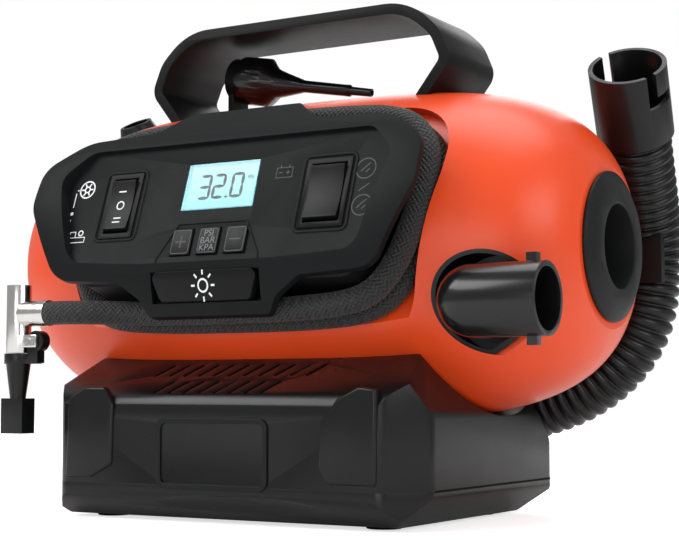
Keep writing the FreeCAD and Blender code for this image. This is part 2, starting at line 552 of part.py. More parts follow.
face_recess = plate("face_recess", offset_outline(rounded(face_line), -0.8), "dim.panel_floor", "40")
lens_window = box("lens_window", "-dim.lcd_half - dim.key_gap", "dim.lcd_half + dim.key_gap",
                  "dim.lcd_low - dim.key_gap", "dim.lcd_high + dim.key_gap", "-20", "20")
windows = [lens_window]
for name in ("mode", "source"):
    border = "dim.rocker_border"
    windows.append(box(name + "_window", "dim.%s_x - dim.%s_half - %s" % (name, name, border),
                       "dim.%s_x + dim.%s_half + %s" % (name, name, border),
                       "dim.%s_low - %s" % (name, border), "dim.%s_high + %s" % (name, border), "-20", "20"))
key_centres = {"plus": -1, "units": 0, "minus": 1}
for name, step in key_centres.items():
    windows.append(box(name + "_window", "%d * dim.key_pitch - dim.key_half - dim.key_gap" % step,
                       "%d * dim.key_pitch + dim.key_half + dim.key_gap" % step,
                       "dim.key_low - dim.key_gap", "dim.key_high + dim.key_gap", "-20", "20"))
windows.append(box("light_window", "-dim.light_half - dim.key_gap", "dim.light_half + dim.key_gap",
                   "dim.light_low - dim.key_gap", "dim.light_high + dim.key_gap", "-30", "20"))
panel_blank = fuse("panel_blank", rim_plate, floor_curved)
panel_cut = cut("control_panel_cut", panel_blank, face_recess, fuse("panel_windows", *windows))
keep("control_panel", on_panel(panel_cut))

keep("lcd_lens", on_panel(box("lcd_lens_block", "-dim.lcd_half", "dim.lcd_half", "dim.lcd_low", "dim.lcd_high",
                              "dim.panel_floor - dim.lens_thick", "dim.panel_floor + 0.2")))
keep("lcd_module", on_panel(box("lcd_module_block", "-dim.lcd_half - 2", "dim.lcd_half + 2", "dim.lcd_low + 1",
                                "dim.lcd_high + 2", SEAT + " - 5.2", SEAT)))
keep("circuit_board", on_panel(box("board_block", "-dim.loop_half * 0.42", "dim.loop_half * 0.42",
                                   "-dim.loop_bottom * 0.62", "dim.loop_top * 0.6", "-dim.board_back",
                                   "-dim.board_back + dim.board_thick")))

for name in ("mode", "source"):
    x, half = "dim.%s_x" % name, "dim.%s_half" % name
    low, high = "dim.%s_low" % name, "dim.%s_high" % name
    middle = "(%s + %s) / 2" % (low, high)
    border = "(dim.rocker_border - dim.fit_gap / 3)"
    frame_block = box(name + "_frame_block", "%s - %s - %s" % (x, half, border), "%s + %s + %s" % (x, half, border),
                      "%s - %s" % (low, border), "%s + %s" % (high, border), "-dim.rocker_depth",
                      "dim.panel_floor + 0.6")
    frame_space = box(name + "_frame_space", "%s - %s" % (x, half), "%s + %s" % (x, half), low, high,
                      "-dim.rocker_depth + 1.5", "20")
    pin_hole = cylinder(name + "_pin_hole", "dim.rocker_pin", "2 * %s + 2 * dim.rocker_border" % half,
                        "%s - %s - dim.rocker_border" % (x, half), middle, "-dim.rocker_depth / 2 + 1", ALONG_X)
    keep(name + "_rocker_frame", on_panel(cut(name + "_frame_cut", frame_block, frame_space, pin_hole)))
    reach = "((%s) - (%s)) / 2 - 1.6" % (high, low)
    key_drum = cylinder(name + "_drum", "sqrt((%s) ^ 2 + (dim.rocker_depth / 2 + dim.rocker_proud - 1) ^ 2)" % reach,
                        "2 * %s - 2 * dim.key_gap" % half, "%s - %s + dim.key_gap" % (x, half), middle,
                        "-dim.rocker_depth / 2 + 1", ALONG_X)
    key_block = box(name + "_key_block", "%s - %s" % (x, half), "%s + %s" % (x, half),
                    "%s - (%s)" % (middle, reach), "%s + %s" % (middle, reach),
                    "-dim.rocker_depth / 2 - 1.5", "dim.rocker_proud + 2")
    key_dish = cylinder(name + "_dish", "60", "4 * %s" % half, "%s - 2 * %s" % (x, half), middle,
                        "60 + dim.rocker_proud - 1.2", ALONG_X)
    key_bore = cylinder(name + "_key_bore", "dim.rocker_pin + dim.running", "4 * %s" % half,
                        "%s - 2 * %s" % (x, half), middle, "-dim.rocker_depth / 2 + 1", ALONG_X)
    key_body = cut(name + "_key_cut", common(name + "_key_curved", key_drum, key_block), key_dish, key_bore)
    keep(name + "_rocker", on_panel(key_body))
    pin = cylinder(name + "_pin", "dim.rocker_pin", "2 * %s + 2 * dim.rocker_border - 2 * dim.fit_gap" % half,
                   "%s - %s - dim.rocker_border + dim.fit_gap" % (x, half), middle,
                   "-dim.rocker_depth / 2 + 1", ALONG_X)
    keep(name + "_rocker_pin", on_panel(pin))

for name, step in key_centres.items():
    cap = box(name + "_cap", "%d * dim.key_pitch - dim.key_half" % step, "%d * dim.key_pitch + dim.key_half" % step,
              "dim.key_low", "dim.key_high", SEAT + " - 0.5", "dim.panel_floor + dim.key_proud")
    stem = cylinder(name + "_stem", "dim.key_stem", "dim.board_back - dim.board_thick - 1 - dim.key_travel + " + SEAT,
                    "%d * dim.key_pitch" % step, "(dim.key_low + dim.key_high) / 2",
                    "-dim.board_back + dim.board_thick + 1 + dim.key_travel")
    keep(name + "_button", on_panel(fuse(name + "_key", cap, stem)))

light_cap = plate("light_cap", rounded([(mm("light_half"), mm("light_high"), 3.0),
                                        (-mm("light_half"), mm("light_high"), 3.0),
                                        (-mm("light_half") + 5, mm("light_low"), 3.0),
                                        (mm("light_half") - 5, mm("light_low"), 3.0)]), "-16", "20")
light_face = cylinder("light_face", "dim.face_radius + dim.key_proud", "4 * dim.light_half", "-2 * dim.light_half",
                      "0", "dim.face_rise - dim.face_radius", ALONG_X)
light_under = cylinder("light_under", "dim.face_radius - dim.panel_plate + 0.4", "4 * dim.light_half",
                       "-2 * dim.light_half", "0", "dim.face_rise - dim.face_radius", ALONG_X)
light_key = cut("light_key", common("light_curved", light_cap, light_face), light_under)
keep("light_button", on_panel(light_key))


# ---- hoses: straight runs joined by tangent arcs ----

def hose_path(name, route):
    """A line through the route's corners, each rounded as far as its runs allow; returns its wire."""
    edges, start, radii = [], route[0], []
    for back, here, ahead in zip(route, route[1:], route[2:]):
        to_back, to_ahead = (back - here), (ahead - here)
        shorter = min(to_back.Length, to_ahead.Length)
        turn = math.pi - to_back.getAngle(to_ahead)
        reach = 0.45 * shorter
        radius = reach / math.tan(turn / 2)
        radii.append(radius)
        to_back.normalize()
        to_ahead.normalize()
        first, last = here + to_back * reach, here + to_ahead * reach
        inward = (to_back + to_ahead).normalize()
        middle = here + inward * (radius / math.cos(turn / 2) - radius)
        edges += [Part.LineSegment(start, first).toShape(), Part.Arc(first, middle, last).toShape()]
        start = last
    edges.append(Part.LineSegment(start, route[-1]).toShape())
    wire = Part.Wire(edges)
    print(name, "length %.1f" % wire.Length, "radii", " ".join("%.0f" % radius for radius in radii))
    return wire


def tube_along(name, route, diameter):
    """A round hose swept along its route, checked against its section times its length."""
    wire = hose_path(name, route)
    start, ahead = route[0], (route[1] - route[0]).normalize()
    ring = Part.Wire(Part.makeCircle(diameter / 2, start, ahead))
    tube = wire.makePipeShell([ring], True, False)
    expected = math.pi * diameter ** 2 / 4 * wire.Length
    if abs(tube.Volume / expected - 1) > 0.02:
        raise ValueError("%s: volume %.0f against %.0f" % (name, tube.Volume, expected))
    return solid(name, tube)


PANEL_FRAME = Placement(Vector(0, -mm("panel_y"), mm("panel_z")), Rotation(X_AXIS, 90 - mm("panel_tilt")))
rear_level = -mm("front_turn") - mm("turn_step")
front_level = -mm("front_turn")
half_loop, top, bottom = mm("loop_half"), mm("loop_top") - 46.6, mm("loop_bottom") - 49.6
low_half = mm("loop_low_half") - 84.5
side = half_loop - 98.0

# one turn, clockwise from the left side: (x, y) in the panel's frame
UP_LEFT = [(-98 - side, 12), (-95.5 - side, 30 + top), (-81 - side, 43.2 + top)]
ACROSS_TOP = [(-50, 46.2 + top), (0, 47 + top), (50, 46.2 + top)]
DOWN_RIGHT = [(81 + side, 43.2 + top), (95.5 + side, 30 + top), (98 + side, 12), (94 + side, -12), (88 + low_half, -33)]
ACROSS_BOTTOM = [(77 + low_half, -46 - bottom), (51, -49.4 - bottom), (0, -50 - bottom)]
BACK_LEFT = [(-51, -49.4 - bottom), (-77 - low_half, -46 - bottom)]

first_turn = [(-98 - side, 1, rear_level)]
first_turn += [(x, y, rear_level) for x, y in UP_LEFT + ACROSS_TOP + DOWN_RIGHT + ACROSS_BOTTOM + BACK_LEFT]
first_turn += [(-88 - low_half, -33, rear_level + 5.5), (-94 - side, -12, front_level - 1)]
second_turn = [(x, y, front_level) for x, y in UP_LEFT + ACROSS_TOP + DOWN_RIGHT + ACROSS_BOTTOM]
hose_route = [PANEL_FRAME.multVec(Vector(*point)) for point in first_turn + second_turn]
tail_start = hose_route[-1]
hose_end = Vector(mm("ferrule_end"), -mm("chuck_y"), mm("hose_exit_z"))
hose_route += [Vector(-43, tail_start.y + 0.6, tail_start.z + 0.2), Vector(-59, tail_start.y - 5.5, hose_end.z - 0.2),
               Vector(-74, hose_end.y, hose_end.z), hose_end]
keep("air_hose", tube_along("air_hose_tube", hose_route, mm("hose_diameter")))
gland_x, gland_y = first_turn[0][0], first_turn[0][1]
gland_body = box("gland_body", "%.3f - dim.hose_diameter / 2" % gland_x, "%.3f + dim.hose_diameter / 2" % gland_x,
                 "%.3f - dim.hose_diameter * 0.6" % gland_y, "%.3f - dim.fit_gap" % gland_y, CHANNEL_FLOOR,
                 CHANNEL_FLOOR + " + dim.hose_diameter * 0.8")
gland_room = plate("gland_room", channel_line, CHANNEL_FLOOR, "20")
keep("hose_gland", on_panel(common("hose_gland_shape", gland_body, gland_room)))

HOSE_Y, HOSE_Z = "-dim.chuck_y", "dim.hose_exit_z"

# ---- chuck: silver body, cam lever hinged beside it, ferrule on the hose ----

ferrule_block = cylinder("ferrule_block", "dim.ferrule_radius", "dim.ferrule_end - dim.chuck_x - dim.chuck_radius * 0.6",
                         "dim.chuck_x + dim.chuck_radius * 0.6", HOSE_Y, HOSE_Z, ALONG_X)
chuck_barrel = cylinder("chuck_barrel", "dim.chuck_radius", "dim.chuck_top - dim.chuck_low", "dim.chuck_x", HOSE_Y,
                        "dim.chuck_low")
chuck_hole = cylinder("chuck_hole", "dim.chuck_bore", "14", "dim.chuck_x", HOSE_Y, "dim.chuck_top - 13")
cheeks = box("cam_cheeks", "dim.chuck_x + 2", "dim.cam_x + 2.2", HOSE_Y + " - 4.6", HOSE_Y + " + 4.6",
             "dim.cam_z - 3", "dim.cam_z + 3")
cheek_gap = box("cheek_gap", "dim.chuck_x + dim.chuck_radius + 0.2", "dim.cam_x + 4", HOSE_Y + " - 2.9",
                HOSE_Y + " + 2.9", "dim.cam_z - 9", "dim.cam_z + 9")
cam_hole = cylinder("cam_hole", "dim.chuck_pin", "20", "dim.cam_x", HOSE_Y + " - 10", "dim.cam_z", ALONG_Y)
chuck_shape = fuse("chuck_shape", chuck_barrel, cut("cheek_pair", cheeks, cheek_gap))
seal_groove = cylinder("seal_groove", "dim.chuck_bore + 1", "5", "dim.chuck_x", HOSE_Y, "dim.chuck_top - 7")
keep("chuck_body", cut("chuck_body_cut", chuck_shape, chuck_hole, cam_hole, seal_groove))
keep("hose_ferrule", cut("hose_ferrule_cut", ferrule_block, chuck_barrel))
seal_ring = cylinder("seal_ring", "dim.chuck_bore + 1", "5", "dim.chuck_x", HOSE_Y, "dim.chuck_top - 7")
keep("chuck_seal", cut("chuck_seal_cut", seal_ring, cylinder("seal_hole", "dim.chuck_bore", "20", "dim.chuck_x",
                                                             HOSE_Y, "dim.chuck_top - 15")))
keep("chuck_pin", cylinder("chuck_pin_rod", "dim.chuck_pin", "9.2", "dim.cam_x", HOSE_Y + " - 4.6", "dim.cam_z",
                           ALONG_Y))
cam = cylinder("cam", "dim.cam_radius", "5.2", "dim.cam_x", HOSE_Y + " - 2.6", "dim.cam_z", ALONG_Y)
cam_arm = box("cam_arm", "dim.cam_x - dim.cam_radius", "dim.cam_x + 1.5", HOSE_Y + " - 2.6", HOSE_Y + " + 2.6",
              "dim.chuck_low - 5", "dim.cam_z")
collar = cylinder("lever_collar", "dim.lever_half", "5", "dim.chuck_x", HOSE_Y, "dim.chuck_low - 5.3")
taper = cone("lever_taper", "dim.lever_neck", "dim.lever_half - 0.8", "dim.chuck_low - 5 - dim.lever_block", "dim.chuck_x",
             HOSE_Y, "dim.lever_block")
end_block = box("lever_end", "dim.chuck_x - dim.lever_half", "dim.chuck_x + dim.lever_half", HOSE_Y + " - 4.5",
                HOSE_Y + " + 4.5", "dim.lever_low", "dim.lever_block")
bridge = box("lever_bridge", "dim.chuck_x", "dim.cam_x", HOSE_Y + " - 2.6", HOSE_Y + " + 2.6", "dim.chuck_low - 5.3",
             "dim.chuck_low - 0.5")
lever_hole = cylinder("lever_hole", "dim.chuck_pin + dim.running", "20", "dim.cam_x", HOSE_Y + " - 10", "dim.cam_z",
                      ALONG_Y)
chuck_clear = cylinder("chuck_clear", "dim.chuck_radius + dim.fit_gap", "60", "dim.chuck_x", HOSE_Y,
                       "dim.chuck_low - dim.fit_gap")
keep("chuck_lever", cut("chuck_lever_cut", fuse("lever_shape", cam, cam_arm, collar, taper, end_block, bridge),
                        lever_hole, chuck_clear))

# ---- corrugated hose stored round the back, with a bayonet cuff and a blow nozzle ----

CUFF_AXIS = Vector(0.12, -0.6, 0.77).normalize()
cuff_foot = Vector(151, 52.5, 186.6)
RIGHT_HALF = [(145.2, 87.2, 134), (143, 87.2, 112), (139, 86, 93), (129, 85, 77), (110, 84, 62), (84, 83, 52.5),
              (50, 82.5, 47)]
duct_route = [cuff_foot, cuff_foot - CUFF_AXIS * 33] + [Vector(*point) for point in RIGHT_HALF] + [Vector(0, 82, 45.5)]
duct_route += [Vector(-x, y, z) for x, y, z in reversed(RIGHT_HALF)]
duct_route += [Vector(-148, 75, 158), Vector(-151, 62, 184)]
keep("blow_hose", tube_along("blow_hose_tube", duct_route, mm("duct_diameter")))

to_cuff = Rotation(Z_AXIS, CUFF_AXIS)


def cuff_shape():
    """A tube with two slots that run in from the rim and turn a quarter way round."""
    radius, wall, length = mm("cuff_diameter") / 2, mm("cuff_wall"), mm("cuff_length")
    width, drop = mm("slot_width"), mm("slot_drop")
    tube = Part.makeCylinder(radius, length).cut(Part.makeCylinder(radius - wall, length))
    band = Part.makeCylinder(radius + 1, width, Vector(0, 0, length - drop - width), Z_AXIS, 40)
    band = band.cut(Part.makeCylinder(radius - wall - 1, length))
    for start in (-35, 145):
        entry = Part.makeBox(radius + 2, width, drop + width, Vector(0, -width / 2, length - drop - width))
        for piece, angle in ((entry, start), (band, start)):
            turned = piece.copy()
            turned.rotate(Vector(), Z_AXIS, angle)
            tube = tube.cut(turned)
    return tube


cuff = solid("cuff_tube", cuff_shape())
cuff.Placement = Placement(cuff_foot, to_cuff)
keep("bayonet_cuff", cuff)
nozzle_foot, nozzle_back = duct_route[-1], duct_route[-2]
nozzle_axis = (nozzle_foot - nozzle_back).normalize()
nozzle_sleeve = Part.makeCone(mm("cuff_diameter") / 2, mm("cuff_diameter") / 2 - 2, 16)
nozzle_tip = Part.makeCone(mm("cuff_diameter") / 2 - 2, 9.6, 22, Vector(0, 0, 16))
nozzle_bore = Part.makeCone(15, 7.4, 36.5, Vector(0, 0, 2)).fuse(Part.makeCylinder(7.4, 4, Vector(0, 0, 36)))
nozzle = solid("nozzle_shape", nozzle_sleeve.fuse(nozzle_tip).cut(nozzle_bore))
nozzle.Placement = Placement(nozzle_foot, Rotation(Z_AXIS, nozzle_axis))
keep("blow_nozzle", nozzle)

clips = []
for side_name, sign in (("right", 1), ("left", -1)):
    clip_x = duct_route[3].x
    duct_y = duct_route[3].y
    reach = [clip_x - 26, clip_x + 15]
    low_x, high_x = (reach if sign > 0 else [-reach[1], -reach[0]])
    jaw = box(side_name + "_clip_block", "%.3f" % low_x, "%.3f" % high_x,
              "%.3f - dim.duct_diameter / 2 - dim.clip_wall" % duct_y,
              "%.3f + dim.duct_diameter / 2 + dim.clip_wall" % duct_y, "dim.clip_z",
              "dim.clip_z + dim.clip_height")
    held = [Vector(sign * point.x, point.y, point.z) for point in duct_route[1:6]]
    hose_gap = solid(side_name + "_clip_gap", tube_along(side_name + "_clip_tube", held,
                                                         mm("duct_diameter") + 2 * mm("fit_gap")).Shape)
    mouth = [clip_x + 1, clip_x + 40] if sign > 0 else [-clip_x - 40, -clip_x - 1]
    clip_mouth = box(side_name + "_clip_mouth", "%.3f" % mouth[0], "%.3f" % mouth[1],
                     "%.3f - dim.duct_diameter / 2 + 2" % duct_y, "%.3f + dim.duct_diameter" % duct_y,
                     "dim.clip_z - 20", "dim.clip_z + dim.clip_height + 20")
    clips.append(cut(side_name + "_clip", jaw, hose_gap, clip_mouth, outer_body))
group("hose_clips", clips)
rest_block = box("rest_block", "-16", "16", "dim.base_back", "dim.base_back + 22", "18", "46")
rest_gap = cylinder("rest_gap", "dim.duct_diameter / 2 + 2 * dim.fit_gap", "60", "-30", "82", "45.8", ALONG_X)
keep("hose_rest", cut("hose_rest_cut", rest_block, rest_gap))

# ---- cone adapter on its post under the handle ----

ADAPTER_AXIS = Rotation(Z_AXIS, Vector(math.cos(math.radians(mm("adapter_dip"))), 0,
                                       -math.sin(math.radians(mm("adapter_dip")))))


def adapter_shape():
    """Turned profile: cup, shoulder, cone, stem and tip, hollow from the cup's side."""
    cup, length, wall = mm("adapter_cup"), mm("adapter_length"), mm("adapter_wall")
    outside = [(0, 0), (cup, 0), (cup, 15), (7.8, 21), (3.3, 38), (3.1, 66), (2.3, 67), (2.1, length), (0, length)]
    inside = [(0, -1), (cup - wall, -1), (cup - wall, 14), (6, 20), (1.4, 36), (1.2, length + 1), (0, length + 1)]
    made = []
    for profile in (outside, inside):
        points = [Vector(x, 0, z) for x, z in profile]
        made.append(Part.Face(Part.makePolygon(points + points[:1])).revolve(Vector(), Z_AXIS, 360))
    return made[0].cut(made[1])


adapter = solid("adapter_turned", adapter_shape())
adapter.Placement = Placement(Vector(mm("adapter_x"), mm("adapter_y"), mm("adapter_z")), ADAPTER_AXIS)
keep("cone_adapter", adapter)
spigot = solid("post_spigot", Part.makeCylinder(mm("adapter_cup") - mm("adapter_wall") - 0.25, 14.5, Vector(0, 0, -6.5)))
spigot.Placement = adapter.Placement
post = box("post_leg", "dim.adapter_x - 7", "dim.adapter_x - 3.5", "dim.adapter_y - 7", "dim.adapter_y + 7",
           "dim.barrel_height + dim.barrel_radius - 6", "dim.adapter_z")
keep("adapter_post", cut("adapter_post_cut", fuse("post_body", spigot, post), outer_body))

# ---- compressor: motor, pinion, crank gear, rod and piston, cylinder ----

GEAR_X = mm("motor_x") + mm("motor_length") + 4
centres = mm("gear_module") * (mm("pinion_teeth") + mm("gear_teeth")) / 2


def gear_shape(teeth, width, bore, phase=0.0):
    """A spur gear with straight-flanked teeth, its axis along X."""
    module = mm("gear_module")
    pitch_radius = module * teeth / 2
    points = []
    for tooth in range(teeth):
        for share, radius in ((-0.27, -1.2), (-0.12, 0.9), (0.12, 0.9), (0.27, -1.2)):
            angle = 2 * math.pi * (tooth + share * 0.92) / teeth + phase
            reach = pitch_radius + radius * module
            points.append(Vector(0, reach * math.cos(angle), reach * math.sin(angle)))
    wheel = Part.Face(Part.makePolygon(points + points[:1])).extrude(Vector(width, 0, 0))
    return wheel.cut(Part.makeCylinder(bore, width, Vector(), X_AXIS)) if bore else wheel


motor_can = cylinder("motor_can", "dim.motor_radius", "dim.motor_length", "dim.motor_x", "dim.motor_y", "dim.motor_z",
                     ALONG_X)
motor_bore = cylinder("motor_bore", "dim.shaft_radius + dim.running", "dim.motor_length", "dim.motor_x + 10",
                      "dim.motor_y", "dim.motor_z", ALONG_X)
keep("compressor_motor", cut("compressor_motor_cut", motor_can, motor_bore))
shaft_back = mm("motor_length") - 10 + 4 - mm("fit_gap")
rotor = Part.makeCylinder(mm("shaft_radius"), shaft_back + mm("gear_width"), Vector(-shaft_back, 0, 0), X_AXIS)
pinion = solid("pinion_shape", gear_shape(int(mm("pinion_teeth")), mm("gear_width"), 0,
                                          math.pi / mm("pinion_teeth")).fuse(rotor))
pinion.Placement = Placement(Vector(GEAR_X, mm("motor_y"), mm("motor_z")), UPRIGHT)
keep("drive_pinion", pinion)

gear_y = mm("motor_y") + centres
wheel = gear_shape(int(mm("gear_teeth")), mm("gear_width"), 0, 0.0)
crank_arm = Part.makeCylinder(mm("crank_pin"), 7, Vector(mm("gear_width"), 0, mm("crank_throw")), X_AXIS)
axle_stub = Part.makeCylinder(4, 8, Vector(-8, 0, 0), X_AXIS)
crank = solid("crank_shape", wheel.fuse(crank_arm).fuse(axle_stub))
crank.Placement = Placement(Vector(GEAR_X, gear_y, mm("motor_z")), UPRIGHT)
keep("crank_gear", crank)

ROD_X = GEAR_X + mm("gear_width") + 1
rod_eye = Part.makeCylinder(mm("crank_pin") + 3.5, 6, Vector(), X_AXIS)
rod_bar = Part.makeBox(5, 6, mm("rod_length"), Vector(0.5, -3, 0))
piston_head = Part.makeCylinder(mm("piston_radius"), 7, Vector(3, 0, mm("rod_length")))
rod_shape = rod_eye.fuse(rod_bar).fuse(piston_head)
rod_shape = rod_shape.cut(Part.makeCylinder(mm("crank_pin") + mm("running"), 20, Vector(-5, 0, 0), X_AXIS))
rod = solid("rod_shape", rod_shape)
rod.Placement = Placement(Vector(ROD_X, gear_y, mm("motor_z") + mm("crank_throw")), UPRIGHT)
keep("wobble_piston", rod)

bore_radius = mm("piston_radius") + mm("crank_throw") + mm("piston_gap")
cylinder_low = mm("motor_z") + mm("rod_length") - 4
tube = Part.makeCylinder(bore_radius + mm("cylinder_wall"), mm("cylinder_length"))
tube = tube.cut(Part.makeCylinder(bore_radius, mm("cylinder_length")))
barrel_part = solid("cylinder_shape", tube)
barrel_part.Placement = Placement(Vector(ROD_X + 3, gear_y, cylinder_low), UPRIGHT)
keep("compressor_cylinder", barrel_part)
head_block = Part.makeCylinder(bore_radius + mm("cylinder_wall"), 8)
head_fins = [Part.makeBox(60, 1.8, 4, Vector(-30, offset, 5)) for offset in (-10.9, -5.9, -0.9, 4.1, 9.1)]
for fin in head_fins:
    head_block = head_block.cut(fin)
head = solid("head_shape", head_block)
head.Placement = Placement(Vector(ROD_X + 3, gear_y, cylinder_low + mm("cylinder_length")), UPRIGHT)
keep("cylinder_head", head)
frame_plate = Part.makeBox(5, centres + 40, cylinder_low - mm("motor_z") + 50, Vector(0, -22, -50))
frame_plate = frame_plate.cut(Part.makeCylinder(mm("shaft_radius") + 1, 20, Vector(-5, 0, 0), X_AXIS))
frame_plate = frame_plate.cut(Part.makeCylinder(4 + mm("running"), 20, Vector(-5, centres, 0), X_AXIS))
bracket = solid("bracket_shape", frame_plate)
bracket.Placement = Placement(Vector(GEAR_X - 6, mm("motor_y"), mm("motor_z")), UPRIGHT)
bracket_cut = common("bracket_trimmed", bracket, room_inside)
keep("gearbox_plate", cut("gearbox_plate_cut", bracket_cut, motor_can))

# ---- high-volume blower behind the suction port ----

blower_motor = cylinder("blower_can", "dim.blower_radius", "dim.blower_length",
                        "dim.impeller_x - 8 - dim.blower_length", "0", "dim.barrel_height", ALONG_X)
blower_bore = cylinder("blower_bore", "dim.shaft_radius + dim.running", "dim.blower_length",
                       "dim.impeller_x - 8 - dim.blower_length + 7.7", "0", "dim.barrel_height", ALONG_X)
keep("blower_motor", cut("blower_motor_cut", blower_motor, blower_bore))
MOUNT_X, MOUNT_END = "dim.impeller_x - 22", "dim.impeller_x - 18"
mount_ring = cylinder("mount_ring", "dim.blower_radius + 4", "4", MOUNT_X, "0", "dim.barrel_height", ALONG_X)
mount_down = box("mount_down", MOUNT_X, MOUNT_END, "-7", "7", "0", "dim.barrel_height")
mount_back = box("mount_back", MOUNT_X, MOUNT_END, "0", "dim.barrel_radius", "dim.barrel_height - 7",
                 "dim.barrel_height + 7")
mount_web = common("mount_web", fuse("mount_arms", mount_ring, mount_down, mount_back), room_inside)
keep("blower_mount", cut("blower_mount_cut", mount_web, blower_motor))


def impeller_shape():
    """A back plate with curved blades on a hub, its axis along X."""
    width, radius = mm("impeller_width"), mm("impeller_radius")
    wheel = Part.makeCylinder(radius, 2, Vector(), X_AXIS)
    wheel = wheel.fuse(Part.makeCylinder(8, width, Vector(), X_AXIS))
    wheel = wheel.fuse(Part.makeCylinder(mm("shaft_radius"), 30, Vector(-30, 0, 0), X_AXIS))
    blade = Part.makeBox(width - 2, radius - 9, 1.6, Vector(2, 7, -0.8))
    blades = int(mm("impeller_blades"))
    for index in range(blades):
        turned = blade.copy()
        turned.rotate(Vector(0, 7, 0), X_AXIS, 24)
        turned.rotate(Vector(), X_AXIS, 360 * index / blades)
        wheel = wheel.fuse(turned)
    return wheel.common(Part.makeCylinder(radius, 60, Vector(-40, 0, 0), X_AXIS))


impeller = solid("impeller_form", impeller_shape())
impeller.Placement = Placement(Vector(mm("impeller_x"), 0, mm("barrel_height")), UPRIGHT)
keep("blower_impeller", impeller)

# ---- power inlet at the back, pressure sensor behind the panel ----

inlet_block = box("inlet_block", "-dim.inlet_half", "dim.inlet_half", "dim.barrel_radius - dim.inlet_deep",
                  "dim.barrel_radius + dim.inlet_proud", "dim.barrel_height - dim.inlet_rise",
                  "dim.barrel_height + dim.inlet_rise")
inlet_socket = box("inlet_socket", "-dim.inlet_half + dim.inlet_rim", "dim.inlet_half - dim.inlet_rim",
                   "dim.barrel_radius - dim.inlet_deep + dim.inlet_rim", "dim.barrel_radius + 2 * dim.inlet_proud",
                   "dim.barrel_height - dim.inlet_rise + dim.inlet_rim",
                   "dim.barrel_height + dim.inlet_rise - dim.inlet_rim")
keep("power_inlet", cut("power_inlet_cut", inlet_block, inlet_socket))
inlet_pins = [cylinder("inlet_pin_%d" % index, "1.6", "dim.inlet_deep - dim.inlet_rim", x,
                       "dim.barrel_radius - dim.inlet_deep + dim.inlet_rim", "dim.barrel_height", ALONG_Y)
              for index, x in enumerate(("-5", "5"))]
group("inlet_pins", inlet_pins)
sensor_body = box("sensor_body", "-36", "-24", "8", "20", "-dim.board_back - 6", "-dim.board_back")
sensor_nipple = cylinder("sensor_nipple", "1.8", "5", "-30", "14", "-dim.board_back - 11")
keep("pressure_sensor", on_panel(fuse("pressure_sensor_body", sensor_body, sensor_nipple)))
print("sub-parts:", len(subparts))

# ---- check and write ----

doc.recompute()
os.makedirs("parts", exist_ok=True)
faults = [thing.Name for thing in doc.Objects if set(thing.State) & {"Invalid", "Error"}]
for thing in subparts:
    if thing.Shape.isNull() or not thing.Shape.isValid() or not thing.Shape.Solids:
        faults.append(thing.Label)
if faults:
    raise ValueError("failed: " + ", ".join(faults))
for thing in subparts:
    thing.Shape.exportStep(os.path.join("parts", thing.Label + ".step"))
    extent = thing.Shape.BoundBox
    print("%-22s solids %d  volume %9.0f  x %.1f..%.1f y %.1f..%.1f z %.1f..%.1f" % (
        thing.Label, len(thing.Shape.Solids), thing.Shape.Volume, extent.XMin, extent.XMax, extent.YMin,
        extent.YMax, extent.ZMin, extent.ZMax))
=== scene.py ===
import bmesh
import bpy
import json
import math
from mathutils import Euler, Matrix, Vector


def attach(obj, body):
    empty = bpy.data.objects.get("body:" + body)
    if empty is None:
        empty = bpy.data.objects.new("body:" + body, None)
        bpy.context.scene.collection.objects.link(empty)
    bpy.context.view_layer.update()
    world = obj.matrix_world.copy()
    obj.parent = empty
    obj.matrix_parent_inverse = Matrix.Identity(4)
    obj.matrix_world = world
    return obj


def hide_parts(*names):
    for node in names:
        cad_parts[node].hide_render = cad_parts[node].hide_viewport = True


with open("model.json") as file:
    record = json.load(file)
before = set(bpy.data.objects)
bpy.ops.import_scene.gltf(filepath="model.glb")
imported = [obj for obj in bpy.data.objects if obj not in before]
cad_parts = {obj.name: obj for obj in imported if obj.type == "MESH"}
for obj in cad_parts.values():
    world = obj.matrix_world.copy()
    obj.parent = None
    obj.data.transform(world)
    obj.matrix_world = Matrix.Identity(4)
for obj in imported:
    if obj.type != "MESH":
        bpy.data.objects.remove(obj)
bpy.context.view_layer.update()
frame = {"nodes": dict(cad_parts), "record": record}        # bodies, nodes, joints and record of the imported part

mm = 0.001
nodes = frame["nodes"]

# The control panel's own frame: x to the right, y up its face, z out of it.
panelPlace = Matrix.Translation((0, -87.93 * mm, 149.98 * mm)) @ Euler((math.radians(71.2), 0,
                                                                        0)).to_matrix().to_4x4()


# Shader groups shared by the finishes

def newGroup(name, inputs, outputs):
    group = bpy.data.node_groups.new(name, "ShaderNodeTree")
    for label, kind, value in inputs:
        socket = group.interface.new_socket(name=label, in_out="INPUT", socket_type=kind)
        if value is not None:
            socket.default_value = value
    for label, kind in outputs:
        group.interface.new_socket(name=label, in_out="OUTPUT", socket_type=kind)
    return group, group.nodes.new("NodeGroupInput"), group.nodes.new("NodeGroupOutput")


def mathNode(tree, operation, first, second=None, clamp=False):
    node = tree.nodes.new("ShaderNodeMath")
    node.operation = operation
    node.use_clamp = clamp
    for socket, value in zip(node.inputs, (first, second)):
        if value is None:
            continue
        if isinstance(value, (int, float)):
            socket.default_value = value
        else:
            tree.links.new(value, socket)
    return node.outputs[0]


def noiseNode(tree, vector, scale, detail=2.0, rough=0.5):
    node = tree.nodes.new("ShaderNodeTexNoise")
    node.inputs["Detail"].default_value = detail
    node.inputs["Roughness"].default_value = rough
    tree.links.new(vector, node.inputs["Vector"])
    if isinstance(scale, (int, float)):
        node.inputs["Scale"].default_value = scale
    else:
        tree.links.new(scale, node.inputs["Scale"])
    return node.outputs["Fac"]


